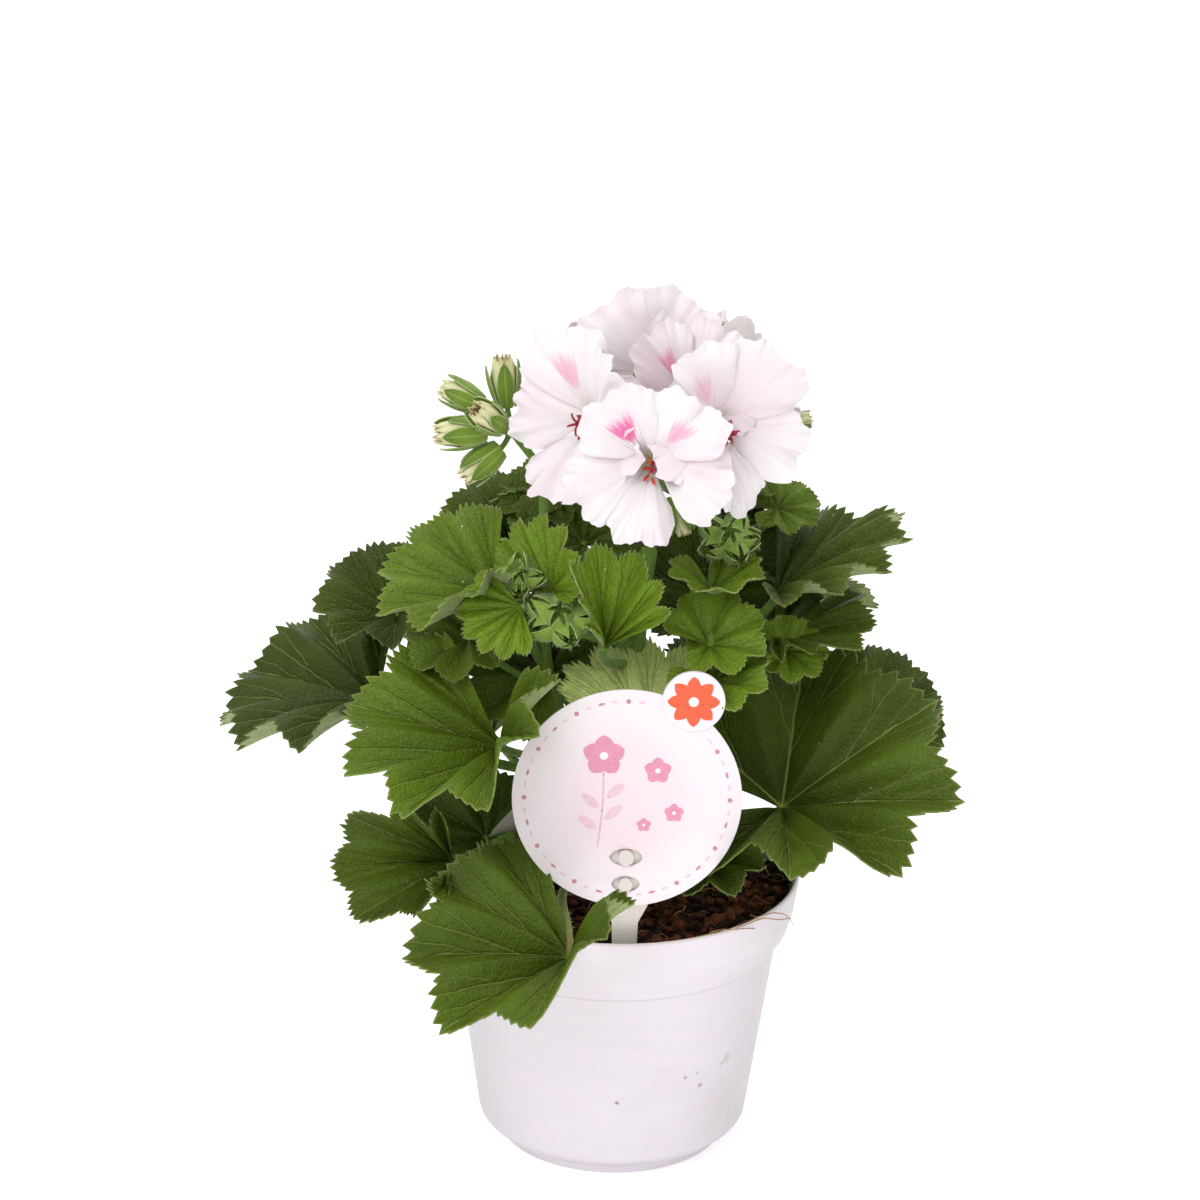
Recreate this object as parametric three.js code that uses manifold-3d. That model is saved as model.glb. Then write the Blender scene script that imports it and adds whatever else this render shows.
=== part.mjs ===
// Regal geranium in a nursery pot: pot, compost, branched stem, leaves,
// flower head, buds and a round plant label on a clear stake.
// Millimetres, +Z up, -Y is the front. The origin is on the pot's axis, on the surface it stands on.
import * as THREE from 'three';
import { mergeVertices } from 'three/addons/utils/BufferGeometryUtils.js';
import Module from 'manifold-3d';

const wasm = await Module();
wasm.setup();

// Pot
const RIM_RADIUS = 60;
const RIM_HEIGHT = 93;
const COLLAR_RADIUS = 56.5;
const COLLAR_HEIGHT = 75;
const SHOULDER_RADIUS = 53;
const SHOULDER_HEIGHT = 70;
const WALL_FOOT_RADIUS = 44;
const WALL_FOOT_HEIGHT = 8;
const BASE_RADIUS = 36.5;
const POT_WALL = 1.2;
const POT_FLOOR = 1.8;
const DRAIN_RADIUS = 4;
const DRAIN_CIRCLE = 25;
const DRAIN_COUNT = 6;
const POT_SIDES = 32;

// Compost
const SOIL_TOP = 86;
const SOIL_BUMP = 0.8;
const SOIL_GAP = 0.4;

// Label and stake
const LABEL_CENTRE = [2.9, -51, 139.3];
const LABEL_RADIUS = 36;
const LABEL_THICKNESS = 0.8;
const LABEL_LEAN = 3;
const BADGE_RADIUS = 9.8;
const BADGE_OFFSET = [20.2, 32.6];
const PEG_OFFSETS = [-19.6, -28.6];
const PEG_RADII = [2.5, 2.2];
const SLOT_HALF_WIDTHS = [5.1, 4.4];
const STAKE_THICKNESS = 1.2;
const STAKE_BEND_START = -42;
const STAKE_BEND = 0.28;

// Leaves
const VEINS = 7;
const LEAF_THICKNESS = 0.8;
const PLEAT = 7;
const MARGIN_DROOP = -12;
const PETIOLE_RADIUS = 1.4;
const LARGE_LEAF = 30;
const LARGEST_LEAF = 50;

// Flowers
const PETAL_THICKNESS = 0.7;
const THROAT_SLOPE = 60;
const PETAL_FLATTEN = -46;

// Clearance kept between neighbouring solids, and the finest detail kept where one is trimmed
const CLEARANCE = 0.35;
const SIMPLIFY = 0.05;

// Shoots of the branched stem: points from the base upward, and radius
const SHOOTS = {
  trunk: { radius: 4.4, points: [[0, 3, 62], [0, 3, 88], [-1, 3, 114]] },
  left: { radius: 2.8, points: [[-1, 3, 106], [-15, 3, 134], [-24, 2, 165], [-25, 6, 207]] },
  centre: { radius: 3.0, points: [[-1, 3, 108], [2, -5, 138], [5, -5, 170], [9, 0, 204]] },
  right: { radius: 2.8, points: [[0, 3, 98], [15, 4, 128], [26, 3, 160], [31, 3, 200]] },
  back: { radius: 2.7, points: [[0, 3, 100], [2, 17, 130], [1, 27, 162], [3, 27, 196]] },
};

// One row per leaf. at: where the petiole meets the blade. size: length of the middle lobe.
// face: compass direction of the blade's upper side, 0 front, 90 right, 180 back.
// up: tilt of the upper side, 90 looks straight up. turn: direction of the middle lobe,
// 0 downhill. cup: slope of the blade. riseL, riseR: extra slope of the two sides.
const LEAVES = [
  { name: 'leaf_front_low', at: [-14.1, -68, 92], size: 51.8, face: 5.5, up: 68.7, turn: -52.2,
    cup: 10.4, riseL: 54.3, riseR: 12.5, spread: 115, from: ['trunk', 0.70],
    via: [[-9, -16, 99], [-17, -44, 102.5], [-15, -61, 98.5]] },
  { name: 'leaf_left_middle', at: [-36.7, -32, 147.7], size: 52.2, face: -31.2, up: 51.5,
    turn: -3.2, cup: 38, riseL: 17, riseR: -9, spread: 133, from: ['left', 0.26] },
  { name: 'leaf_right_large', at: [53.1, -12, 119.9], size: 58.9, face: 7, up: 52.5, turn: 75,
    cup: 32.2, riseL: -21.9, riseR: 15.2, spread: 138, from: ['right', 0.18] },
  { name: 'leaf_left_low', at: [-51.6, -36, 110.6], size: 37.6, face: -3.5, up: 21.6,
    turn: -84.4, cup: 10.2, riseL: 60, riseR: 52.8, spread: 97.3, from: ['left', 0.08] },
  { name: 'leaf_low_right', at: [27, -28, 108], size: 21, face: 10, up: 62, turn: 20,
    cup: 24, from: ['trunk', 0.86] },
  { name: 'leaf_behind_label', at: [10.6, -34, 150.4], size: 39, face: 13.1, up: 85.7,
    turn: 172, cup: 31.8, riseL: -2, riseR: 0.5, spread: 90, from: ['centre', 0.40] },
  { name: 'leaf_centre', at: [-5.3, -30, 181.4], size: 32.8, face: 17.3, up: 35.3, turn: 182.7,
    cup: 31, riseL: 36, riseR: 26.9, spread: 91.3, from: ['centre', 0.62] },
  { name: 'leaf_left_small', at: [-31, -28, 194], size: 20, face: -15, up: 42, turn: -50,
    cup: 12, spread: 80, from: ['left', 0.72] },
  { name: 'leaf_left_upright', at: [-21, -20, 196], size: 25, face: -50, up: 20, turn: -170,
    cup: 26, spread: 100, from: ['left', 0.84] },
  { name: 'leaf_left_upper', at: [-38.6, -8, 189.2], size: 38.5, face: -39.6, up: 63.4,
    turn: -33.4, cup: 25.9, riseL: 25.4, riseR: 1.8, spread: 122, from: ['left', 0.62] },
  { name: 'leaf_far_left', at: [-78, 12, 144], size: 50, face: -75, up: 75.8, turn: -15.4,
    cup: 11.6, riseL: 7.7, riseR: 13.5, spread: 110.3, from: ['left', 0.16] },
  { name: 'leaf_left_outer', at: [-71.8, 18, 172.4], size: 27, face: -30, up: 62, turn: -60,
    cup: 30, from: ['left', 0.46], via: [[-46, 13, 158]] },
  { name: 'leaf_left_under', at: [-48, -12, 177], size: 20, face: -25, up: 60, turn: -80,
    cup: 10, from: ['left', 0.54] },
  { name: 'leaf_left_top', at: [-36, 24, 197], size: 24, face: -30, up: 62, turn: -90,
    cup: 28, from: ['left', 0.88] },
  { name: 'leaf_left_crown', at: [-22, 32, 207], size: 18, face: -20, up: 62, turn: -100,
    cup: 20, from: ['left', 0.96] },
  { name: 'leaf_right_cup', at: [29, -16, 195], size: 19, face: 5, up: 78, turn: 20,
    cup: 36, from: ['right', 0.84] },
  { name: 'leaf_right_light', at: [28, -26, 181], size: 19, face: 8, up: 60, turn: 110,
    cup: 24, from: ['right', 0.66] },
  { name: 'leaf_right_fold', at: [29, -32, 171], size: 19, face: 8, up: 62, turn: 60,
    cup: 26, from: ['right', 0.56] },
  { name: 'leaf_right_top', at: [49.8, 4, 186.8], size: 46.7, face: -11.9, up: 78.3, turn: 95.5,
    cup: 34.4, riseL: -21.6, riseR: -1.4, spread: 94.5, from: ['right', 0.74] },
  { name: 'leaf_right_middle', at: [50.4, -6, 175.6], size: 31, face: -18.2, up: 46,
    turn: 108.6, cup: 8.5, riseL: -45, riseR: 45.8, spread: 93.5, from: ['right', 0.48] },
  { name: 'leaf_right_tip', at: [52.8, -14, 174.7], size: 13, face: 20, up: 50, turn: 80,
    cup: 14, from: ['right', 0.40] },
  { name: 'leaf_right_outer', at: [81, 34, 131.5], size: 27, face: 22, up: 52, turn: 100,
    cup: 18, from: ['right', 0.36] },
  { name: 'leaf_right_crown', at: [50, 24, 209], size: 14, face: 20, up: 65, turn: 90,
    cup: 12, from: ['right', 0.94] },
  { name: 'leaf_centre_back', at: [-12, 16, 199], size: 26, face: -10, up: 60, turn: -150,
    cup: 16, from: ['centre', 0.84] },
  { name: 'leaf_left_inner', at: [-42.1, -10, 106.8], size: 25, face: -22, up: 50, turn: -60,
    cup: 18, from: ['trunk', 0.72] },
  { name: 'leaf_centre_low', at: [-22.8, 2, 158.8], size: 30, face: -8, up: 46, turn: -140,
    cup: 20, from: ['centre', 0.30] },
  { name: 'leaf_right_inner', at: [33, 24, 177], size: 34, face: 12, up: 50, turn: 160, cup: 20,
    from: ['right', 0.52] },
  { name: 'leaf_back_low_left', at: [-42, 40, 122], size: 42, face: -135, up: 60, turn: 5,
    cup: 24, from: ['trunk', 0.90], via: [[-22, 20, 110]] },
  { name: 'leaf_back_low', at: [2, 62, 124], size: 44, face: 175, up: 60, turn: -8,
    cup: 22, from: ['back', 0.22] },
  { name: 'leaf_back_low_right', at: [44, 44, 126], size: 42, face: 130, up: 60, turn: 6,
    cup: 24, from: ['trunk', 0.84], via: [[22, 22, 112]] },
  { name: 'leaf_back_left', at: [-44, 40, 160], size: 38, face: -120, up: 64, turn: -6,
    cup: 26, from: ['back', 0.40] },
  { name: 'leaf_back_middle', at: [-6, 56, 166], size: 40, face: 176, up: 62, turn: 10,
    cup: 24, from: ['back', 0.62] },
  { name: 'leaf_back_right', at: [46, 40, 168], size: 38, face: 140, up: 64, turn: 0,
    cup: 26, from: ['back', 0.72] },
  { name: 'leaf_back_high_left', at: [-22, 44, 196], size: 30, face: -150, up: 60, turn: 12,
    cup: 22, from: ['back', 0.86] },
  { name: 'leaf_back_high_right', at: [24, 38, 203], size: 30, face: 152, up: 60, turn: -10,
    cup: 22, from: ['back', 0.96] },
];

// One row per open flower. at: the throat. roll: turn about the facing direction.
const FLOWERS = [
  { name: 'flower_front', at: [8.8, -34, 245.8], size: 31, face: 0, up: 10, roll: 0 },
  { name: 'flower_left', at: [-6.1, -18, 252.8], size: 31, face: -36, up: 16, roll: -14 },
  { name: 'flower_right', at: [26.7, -20, 252.7], size: 32, face: 24, up: 14, roll: -5 },
  { name: 'flower_upper', at: [18.7, -10, 256.4], size: 27, face: 8, up: 38, roll: 0 },
  { name: 'flower_back_left', at: [-3, 16, 250], size: 28, face: -128, up: 36, roll: 10 },
  { name: 'flower_top', at: [8.1, 8, 258.8], size: 31, face: -3, up: 28, roll: 0 },
  { name: 'flower_back_right', at: [29, 19, 246], size: 28, face: 126, up: 34, roll: 0 },
];
const FLOWER_HUB = [11, 0, 229];
const CALYX_LENGTH = 6;

// Cream buds beside the head: where the bud starts and where its tip is
const BUD_HUB = [-35, -4, 244];
const CREAM_BUDS = [
  { name: 'cream_bud_top', base: [-36.6, -4, 252.5], tip: [-38, -4, 268], radius: 4.2 },
  { name: 'cream_bud_back', base: [-44.5, -5, 252.5], tip: [-57, -2, 257.5], radius: 3.8 },
  { name: 'cream_bud_left', base: [-43, -10, 245.5], tip: [-58.4, -13, 245.5], radius: 4.4 },
  { name: 'cream_bud_front', base: [-38, -14, 248.5], tip: [-46, -20, 256.5], radius: 4.0 },
  { name: 'cream_bud_low', base: [-38.5, -10, 240], tip: [-49.7, -15, 232], radius: 4.0 },
];

// Buds of the flower head: one hangs under the front flower, two stand behind the others
const HEAD_BUDS = [
  { name: 'head_bud_under', base: [16.5, -12.5, 226], tip: [19.5, -15, 214.5], radius: 3.2 },
  { name: 'head_bud_back', base: [29, 22, 258], tip: [34, 26, 270.5], radius: 3.4 },
  { name: 'head_bud_right', base: [48, 20, 238], tip: [59.5, 21, 242], radius: 3.0 },
];

// Green bud clusters in the foliage: centre, size of a bud, and the shoot they grow from
const GREEN_CLUSTERS = [
  { name: 'green_buds_centre', at: [-19, -22, 186], length: 13, radius: 3.6, count: 6,
    from: ['centre', 0.70] },
  { name: 'green_buds_left', at: [-32, -16, 198], length: 9, radius: 2.4, count: 5,
    from: ['left', 0.92] },
  { name: 'green_buds_right', at: [34, -6, 208], length: 11, radius: 3.2, count: 6,
    from: ['right', 0.90] },
];

const MATERIALS = {
  pot: new THREE.MeshStandardMaterial({ color: 0xe4e0ea, roughness: 0.55, metalness: 0 }),
  compost: new THREE.MeshStandardMaterial({ color: 0x4a2f20, roughness: 1, metalness: 0 }),
  label: new THREE.MeshStandardMaterial({ color: 0xf6e6ec, roughness: 0.4, metalness: 0 }),
  stake: new THREE.MeshStandardMaterial({ color: 0xd9dcdc, roughness: 0.3, metalness: 0 }),
  stem: new THREE.MeshStandardMaterial({ color: 0x6f8f3c, roughness: 0.8, metalness: 0 }),
  leaf: new THREE.MeshStandardMaterial({ color: 0x4d7a24, roughness: 0.7, metalness: 0 }),
  petal: new THREE.MeshStandardMaterial({ color: 0xf7eef4, roughness: 0.6, metalness: 0 }),
  cream_bud: new THREE.MeshStandardMaterial({ color: 0xdcdcae, roughness: 0.6, metalness: 0 }),
  green_bud: new THREE.MeshStandardMaterial({ color: 0x7f9f45, roughness: 0.8, metalness: 0 }),
};

// Small helpers
const rad = (degrees) => degrees * Math.PI / 180;
const vec = (list) => new THREE.Vector3(list[0], list[1], list[2]);

function ramp(x) {
  const c = Math.min(1, Math.max(0, x));
  return c * c * (3 - 2 * c);
}

function solidOf(geometry) {
  const bare = geometry.clone();
  bare.deleteAttribute('normal');
  bare.deleteAttribute('uv');
  const merged = mergeVertices(bare, 1e-4);
  const mesh = new wasm.Mesh({
    numProp: 3,
    vertProperties: Float32Array.from(merged.attributes.position.array),
    triVerts: Uint32Array.from(merged.index.array),
  });
  return new wasm.Manifold(mesh);
}

function geometryOf(solid) {
  const mesh = solid.getMesh();
  const geometry = new THREE.BufferGeometry();
  const points = new THREE.BufferAttribute(Float32Array.from(mesh.vertProperties), 3);
  geometry.setAttribute('position', points);
  geometry.setIndex(Array.from(mesh.triVerts));
  geometry.computeVertexNormals();
  return geometry;
}

function apart(a, b) {
  const p = a.boundingBox();
  const q = b.boundingBox();
  return [0, 1, 2].some((k) => p.max[k] < q.min[k] || q.max[k] < p.min[k]);
}

function carve(body, cutters) {
  let result = body;
  for (const cutter of cutters) {
    if (!apart(result, cutter)) {
      result = result.subtract(cutter);
    }
  }
  return result;
}

function largest(body) {
  const pick = (pieces) => pieces.reduce((best, one) => (one.volume() > best.volume() ? one : best));
  return pick(pick(body.decompose()).simplify(SIMPLIFY).decompose());
}

function ring(radius, sides) {
  const shape = new THREE.Shape();
  for (let k = 0; k < sides; k += 1) {
    const angle = 2 * Math.PI * k / sides;
    const x = radius * Math.cos(angle);
    const y = radius * Math.sin(angle);
    if (k === 0) {
      shape.moveTo(x, y);
    } else {
      shape.lineTo(x, y);
    }
  }
  shape.closePath();
  return shape;
}

function tube(curve, radius, sides, steps, grow) {
  const options = { extrudePath: curve, steps, bevelEnabled: false };
  const geometry = new THREE.ExtrudeGeometry(ring(radius + grow, sides), options);
  const spots = geometry.attributes.position;
  for (const [end, way] of [[0, -1], [1, 1]]) {
    const centre = curve.getPoint(end);
    const along = curve.getTangent(end);
    for (let k = 0; k < spots.count; k += 1) {
      const spot = new THREE.Vector3().fromBufferAttribute(spots, k);
      const offset = spot.clone().sub(centre);
      if (Math.abs(offset.dot(along)) < 1e-3 && offset.length() < radius + grow + 0.01) {
        spot.addScaledVector(along, way * grow);
        spots.setXYZ(k, spot.x, spot.y, spot.z);
      }
    }
  }
  return solidOf(geometry);
}

function spindle(profile, base, direction, sides) {
  const points = profile.map(([r, z]) => new THREE.Vector2(r, z));
  const geometry = new THREE.LatheGeometry(points, sides);
  geometry.applyQuaternion(new THREE.Quaternion().setFromUnitVectors(
    new THREE.Vector3(0, 1, 0), direction.clone().normalize()));
  geometry.translate(base.x, base.y, base.z);
  return solidOf(geometry);
}

// Frame of a blade or flower: x to the middle lobe, y to its left, n out of the upper side
function frameOf({ face, up, turn }) {
  const f = rad(face);
  const u = rad(up);
  const t = rad(turn);
  const n = new THREE.Vector3(Math.sin(f) * Math.cos(u), -Math.cos(f) * Math.cos(u), Math.sin(u));
  const down = new THREE.Vector3(Math.sin(f) * Math.sin(u), -Math.cos(f) * Math.sin(u), -Math.cos(u));
  const side = new THREE.Vector3().crossVectors(n, down);
  const x = down.multiplyScalar(Math.cos(t)).addScaledVector(side, Math.sin(t));
  const y = new THREE.Vector3().crossVectors(n, x);
  return { x, y, n };
}

// A thin sheet over a polar grid, closed on both sides. place(i, j) gives the point and
// the direction of the upper side in local coordinates; ring 0 is the single middle point.
function sheet(item, columns, rings, closed, place, half) {
  const { x, y, n } = frameOf(item);
  const origin = vec(item.at);
  const toWorld = ([a, b, c]) => origin.clone().addScaledVector(x, a).addScaledVector(y, b)
    .addScaledVector(n, c);
  const points = [];
  const index = [];
  const add = (local) => {
    const p = toWorld(local);
    points.push(p.x, p.y, p.z);
    return points.length / 3 - 1;
  };
  const middleTop = add([0, 0, half * 1.3]);
  const middleUnder = add([0, 0, -half * 1.3]);
  const top = [];
  const under = [];
  const count = closed ? columns : columns + 1;
  for (let i = 0; i < count; i += 1) {
    top.push([middleTop]);
    under.push([middleUnder]);
    for (let j = 1; j <= rings; j += 1) {
      const { point, up } = place(i, j);
      top[i].push(add(point.map((value, k) => value + half * up[k])));
      under[i].push(add(point.map((value, k) => value - half * up[k])));
    }
  }
  for (let i = 0; i < columns; i += 1) {
    const next = (i + 1) % count;
    index.push(top[i][0], top[i][1], top[next][1]);
    index.push(under[i][0], under[next][1], under[i][1]);
    for (let j = 1; j < rings; j += 1) {
      index.push(top[i][j], top[i][j + 1], top[next][j + 1]);
      index.push(top[i][j], top[next][j + 1], top[next][j]);
      index.push(under[i][j], under[next][j + 1], under[i][j + 1]);
      index.push(under[i][j], under[next][j], under[next][j + 1]);
    }
    index.push(top[i][rings], under[i][rings], under[next][rings]);
    index.push(top[i][rings], under[next][rings], top[next][rings]);
  }
  if (!closed) {
    const last = columns;
    for (let j = 0; j < rings; j += 1) {
      if (j > 0) {
        index.push(under[0][j], top[0][j + 1], top[0][j]);
        index.push(top[last][j], under[last][j + 1], under[last][j]);
      } else {
        index.push(under[0][j], top[0][j + 1], top[0][j]);
        index.push(top[last][j], under[last][j + 1], under[last][j]);
      }
      index.push(under[0][j], under[0][j + 1], top[0][j + 1]);
      index.push(top[last][j], top[last][j + 1], under[last][j + 1]);
    }
  }
  const geometry = new THREE.BufferGeometry();
  geometry.setAttribute('position', new THREE.Float32BufferAttribute(points, 3));
  geometry.setIndex(index);
  return solidOf(geometry);
}

// Leaf blade: seven lobes, one for each main vein, pleated between the veins
function lobeLength(s) {
  const base = 1 - 0.20 * Math.abs(s) ** 2.2;
  const lobe = Math.abs(Math.cos(0.5 * Math.PI * VEINS * s)) ** 0.7;
  return base * (0.87 + 0.13 * lobe);
}

function blade(leaf, grow) {
  const spread = leaf.spread ?? 160;
  const columns = leaf.size > LARGEST_LEAF ? 28 : 14;
  const rings = leaf.size > LARGE_LEAF ? 2 : 1;
  const droop = rad(MARGIN_DROOP);
  const across = Array.from({ length: columns + 1 }, (_, i) => -1 + 2 * i / columns);
  if (grow > 0) {
    const extra = grow / (leaf.size * 0.4 * rad(spread));
    across.unshift(-1 - extra);
    across.push(1 + extra);
  }
  const place = (i, j) => {
    const s = Math.min(1, Math.max(-1, across[i]));
    const v = j / rings;
    const left = ramp((s - 0.05) / 0.65);
    const right = ramp((-s - 0.05) / 0.65);
    const slope = rad(leaf.cup - MARGIN_DROOP / 2 + (leaf.riseL ?? 0) * left
      + (leaf.riseR ?? 0) * right - PLEAT * Math.cos(Math.PI * VEINS * s));
    const length = leaf.size * lobeLength(s) + grow;
    const out = length / droop * (Math.sin(slope + droop * v) - Math.sin(slope));
    const rise = length / droop * (Math.cos(slope) - Math.cos(slope + droop * v));
    const angle = rad(across[i] * spread);
    const tilt = slope + droop * v;
    return {
      point: [out * Math.cos(angle), out * Math.sin(angle), rise],
      up: [-Math.sin(tilt) * Math.cos(angle), -Math.sin(tilt) * Math.sin(angle), Math.cos(tilt)],
    };
  };
  return sheet(leaf, across.length - 1, rings, false, place, LEAF_THICKNESS / 2 + grow);
}

function shootCurve(name) {
  return new THREE.CatmullRomCurve3(SHOOTS[name].points.map(vec));
}

function petioleCurve(leaf) {
  const start = shootCurve(leaf.from[0]).getPoint(leaf.from[1]);
  const end = vec(leaf.at);
  if (leaf.via) {
    return new THREE.CatmullRomCurve3([start, ...leaf.via.map(vec), end]);
  }
  const { x, n } = frameOf(leaf);
  const reach = start.distanceTo(end);
  const arrive = n.clone().multiplyScalar(0.9).addScaledVector(x, 0.35).normalize();
  const leave = end.clone().sub(start);
  leave.z = Math.max(leave.z, 0.35 * reach);
  leave.normalize();
  return new THREE.CubicBezierCurve3(
    start,
    start.clone().addScaledVector(leave, 0.35 * reach),
    end.clone().addScaledVector(arrive, -0.38 * reach),
    end,
  );
}

function petiole(leaf, grow) {
  const radius = PETIOLE_RADIUS * (leaf.size > LARGE_LEAF ? 1.1 : 0.85);
  return tube(petioleCurve(leaf), radius, 5, leaf.via ? 10 : 6, grow);
}

// Flower: five broad petals round a throat, the two upper ones wider
const PETALS = [
  { angle: 0, half: 38 },
  { angle: 68, half: 38 },
  { angle: 144, half: 42 },
  { angle: -144, half: 42 },
  { angle: -68, half: 38 },
];

function petalLength(angle) {
  let best = 0;
  for (const petal of PETALS) {
    const off = Math.abs(((angle - petal.angle + 540) % 360) - 180) / petal.half;
    best = Math.max(best, off < 1 ? (1 - off ** 3.2) ** 0.5 : 0);
  }
  return 0.62 + 0.38 * best;
}

function corolla(flower, grow) {
  const columns = 30;
  const rings = 2;
  const bend = rad(PETAL_FLATTEN);
  const place = (i, j) => {
    const angle = 360 * i / columns;
    const v = j / rings;
    const slope = rad(THROAT_SLOPE + 4 * Math.sin(rad(angle * 10)));
    const length = flower.size * petalLength(angle) + grow;
    const out = length / bend * (Math.sin(slope + bend * v) - Math.sin(slope));
    const rise = length / bend * (Math.cos(slope) - Math.cos(slope + bend * v));
    const tilt = slope + bend * v;
    const c = Math.cos(rad(angle));
    const d = Math.sin(rad(angle));
    return {
      point: [out * c, out * d, rise],
      up: [-Math.sin(tilt) * c, -Math.sin(tilt) * d, Math.cos(tilt)],
    };
  };
  const item = { ...flower, turn: flower.roll };
  const petals = sheet(item, columns, rings, true, place, PETAL_THICKNESS / 2 + grow);
  const { n } = frameOf(item);
  const throat = vec(flower.at).addScaledVector(n, -2 - grow);
  const profile = [[0, 0], [1.3 + grow, 0], [1.9 + grow, 3 + grow], [0, 3 + grow]];
  return petals.add(spindle(profile, throat, n, 8));
}

function budProfile(length, radius) {
  return [
    [0, 0], [radius * 0.55, 0], [radius, length * 0.3], [radius * 0.85, length * 0.65],
    [radius * 0.4, length * 0.9], [0, length],
  ];
}

// Pot
function growPot() {
  const profile = [
    [0, 0], [BASE_RADIUS, 0], [BASE_RADIUS + 1.2, 3.4], [BASE_RADIUS + 4.6, 5.2],
    [WALL_FOOT_RADIUS, WALL_FOOT_HEIGHT],
    [SHOULDER_RADIUS, SHOULDER_HEIGHT],
    [COLLAR_RADIUS, COLLAR_HEIGHT],
    [58.4, 81],
    [RIM_RADIUS, RIM_HEIGHT - 1],
    [RIM_RADIUS - 0.5, RIM_HEIGHT],
    [RIM_RADIUS - POT_WALL, RIM_HEIGHT],
    [58.4 - POT_WALL, 81],
    [COLLAR_RADIUS - POT_WALL, COLLAR_HEIGHT],
    [SHOULDER_RADIUS - POT_WALL, SHOULDER_HEIGHT],
    [WALL_FOOT_RADIUS - POT_WALL, WALL_FOOT_HEIGHT],
    [BASE_RADIUS + 3, POT_FLOOR + 4],
    [BASE_RADIUS - 1, POT_FLOOR],
    [0, POT_FLOOR],
  ].map(([r, z]) => new THREE.Vector2(r, z));
  const lathe = new THREE.LatheGeometry(profile, POT_SIDES);
  lathe.rotateX(Math.PI / 2);
  let pot = solidOf(lathe);
  for (let k = 0; k < DRAIN_COUNT; k += 1) {
    const angle = 2 * Math.PI * (k + 0.5) / DRAIN_COUNT;
    const drill = new THREE.CylinderGeometry(DRAIN_RADIUS, DRAIN_RADIUS, 10, 10);
    drill.rotateX(Math.PI / 2);
    drill.translate(DRAIN_CIRCLE * Math.cos(angle), DRAIN_CIRCLE * Math.sin(angle), 0);
    pot = pot.subtract(solidOf(drill));
  }
  return pot;
}

// Compost: fills the pot to just under the rim, with an uneven top
function compost() {
  const inner = POT_WALL + SOIL_GAP;
  const profile = [
    [0, POT_FLOOR + SOIL_GAP], [BASE_RADIUS - 2, POT_FLOOR + SOIL_GAP],
    [BASE_RADIUS + 2.4, POT_FLOOR + 4.5],
    [WALL_FOOT_RADIUS - inner, WALL_FOOT_HEIGHT + 0.3],
    [SHOULDER_RADIUS - inner, SHOULDER_HEIGHT + 0.3],
    [COLLAR_RADIUS - inner, COLLAR_HEIGHT + 0.2],
    [58.4 - inner, SOIL_TOP - 4.5],
    [58.4 - inner, SOIL_TOP - 1.2],
    [48, SOIL_TOP], [24, SOIL_TOP], [0, SOIL_TOP],
  ].map(([r, z]) => new THREE.Vector2(r, z));
  const lathe = new THREE.LatheGeometry(profile, POT_SIDES);
  lathe.rotateX(Math.PI / 2);
  const merged = mergeVertices(lathe, 1e-4);
  const position = merged.attributes.position;
  for (let k = 0; k < position.count; k += 1) {
    const x = position.getX(k);
    const y = position.getY(k);
    if (position.getZ(k) > SOIL_TOP - 0.1) {
      const bump = Math.sin(0.31 * x + 1) * Math.cos(0.27 * y) + 0.5 * Math.sin(0.5 * (x - y));
      position.setZ(k, SOIL_TOP + SOIL_BUMP * bump);
    }
  }
  return solidOf(merged);
}

// Label: a round card with a small raised badge on its edge and two slots for the pegs
function slot(halfWidth, radius, centreZ, thickness) {
  const shape = new THREE.Shape();
  shape.absellipse(0, 0, halfWidth, radius, 0, 2 * Math.PI, false, 0);
  const options = { depth: thickness, bevelEnabled: false, curveSegments: 8 };
  const geometry = new THREE.ExtrudeGeometry(shape, options);
  geometry.rotateX(Math.PI / 2);
  geometry.translate(0, thickness / 2, centreZ);
  return solidOf(geometry);
}

function leanedLabel(solid) {
  const moved = geometryOf(solid);
  moved.rotateX(rad(-LABEL_LEAN));
  moved.translate(...LABEL_CENTRE);
  return solidOf(moved);
}

function card(radius, thickness, sides, x, y, z) {
  const geometry = new THREE.CylinderGeometry(radius, radius, thickness, sides);
  geometry.translate(x, y, z);
  return solidOf(geometry);
}

function labelDisc(grow) {
  let disc = card(LABEL_RADIUS + grow, LABEL_THICKNESS + 2 * grow, 48, 0, 0, 0);
  const raised = 0.6;
  disc = disc.add(card(BADGE_RADIUS + grow, LABEL_THICKNESS + raised + 2 * grow, 24,
    BADGE_OFFSET[0], -raised / 2, BADGE_OFFSET[1]));
  if (grow === 0) {
    for (const k of [0, 1]) {
      disc = disc.subtract(slot(SLOT_HALF_WIDTHS[k], PEG_RADII[k] + CLEARANCE, PEG_OFFSETS[k], 6));
    }
  }
  return leanedLabel(disc);
}

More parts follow.
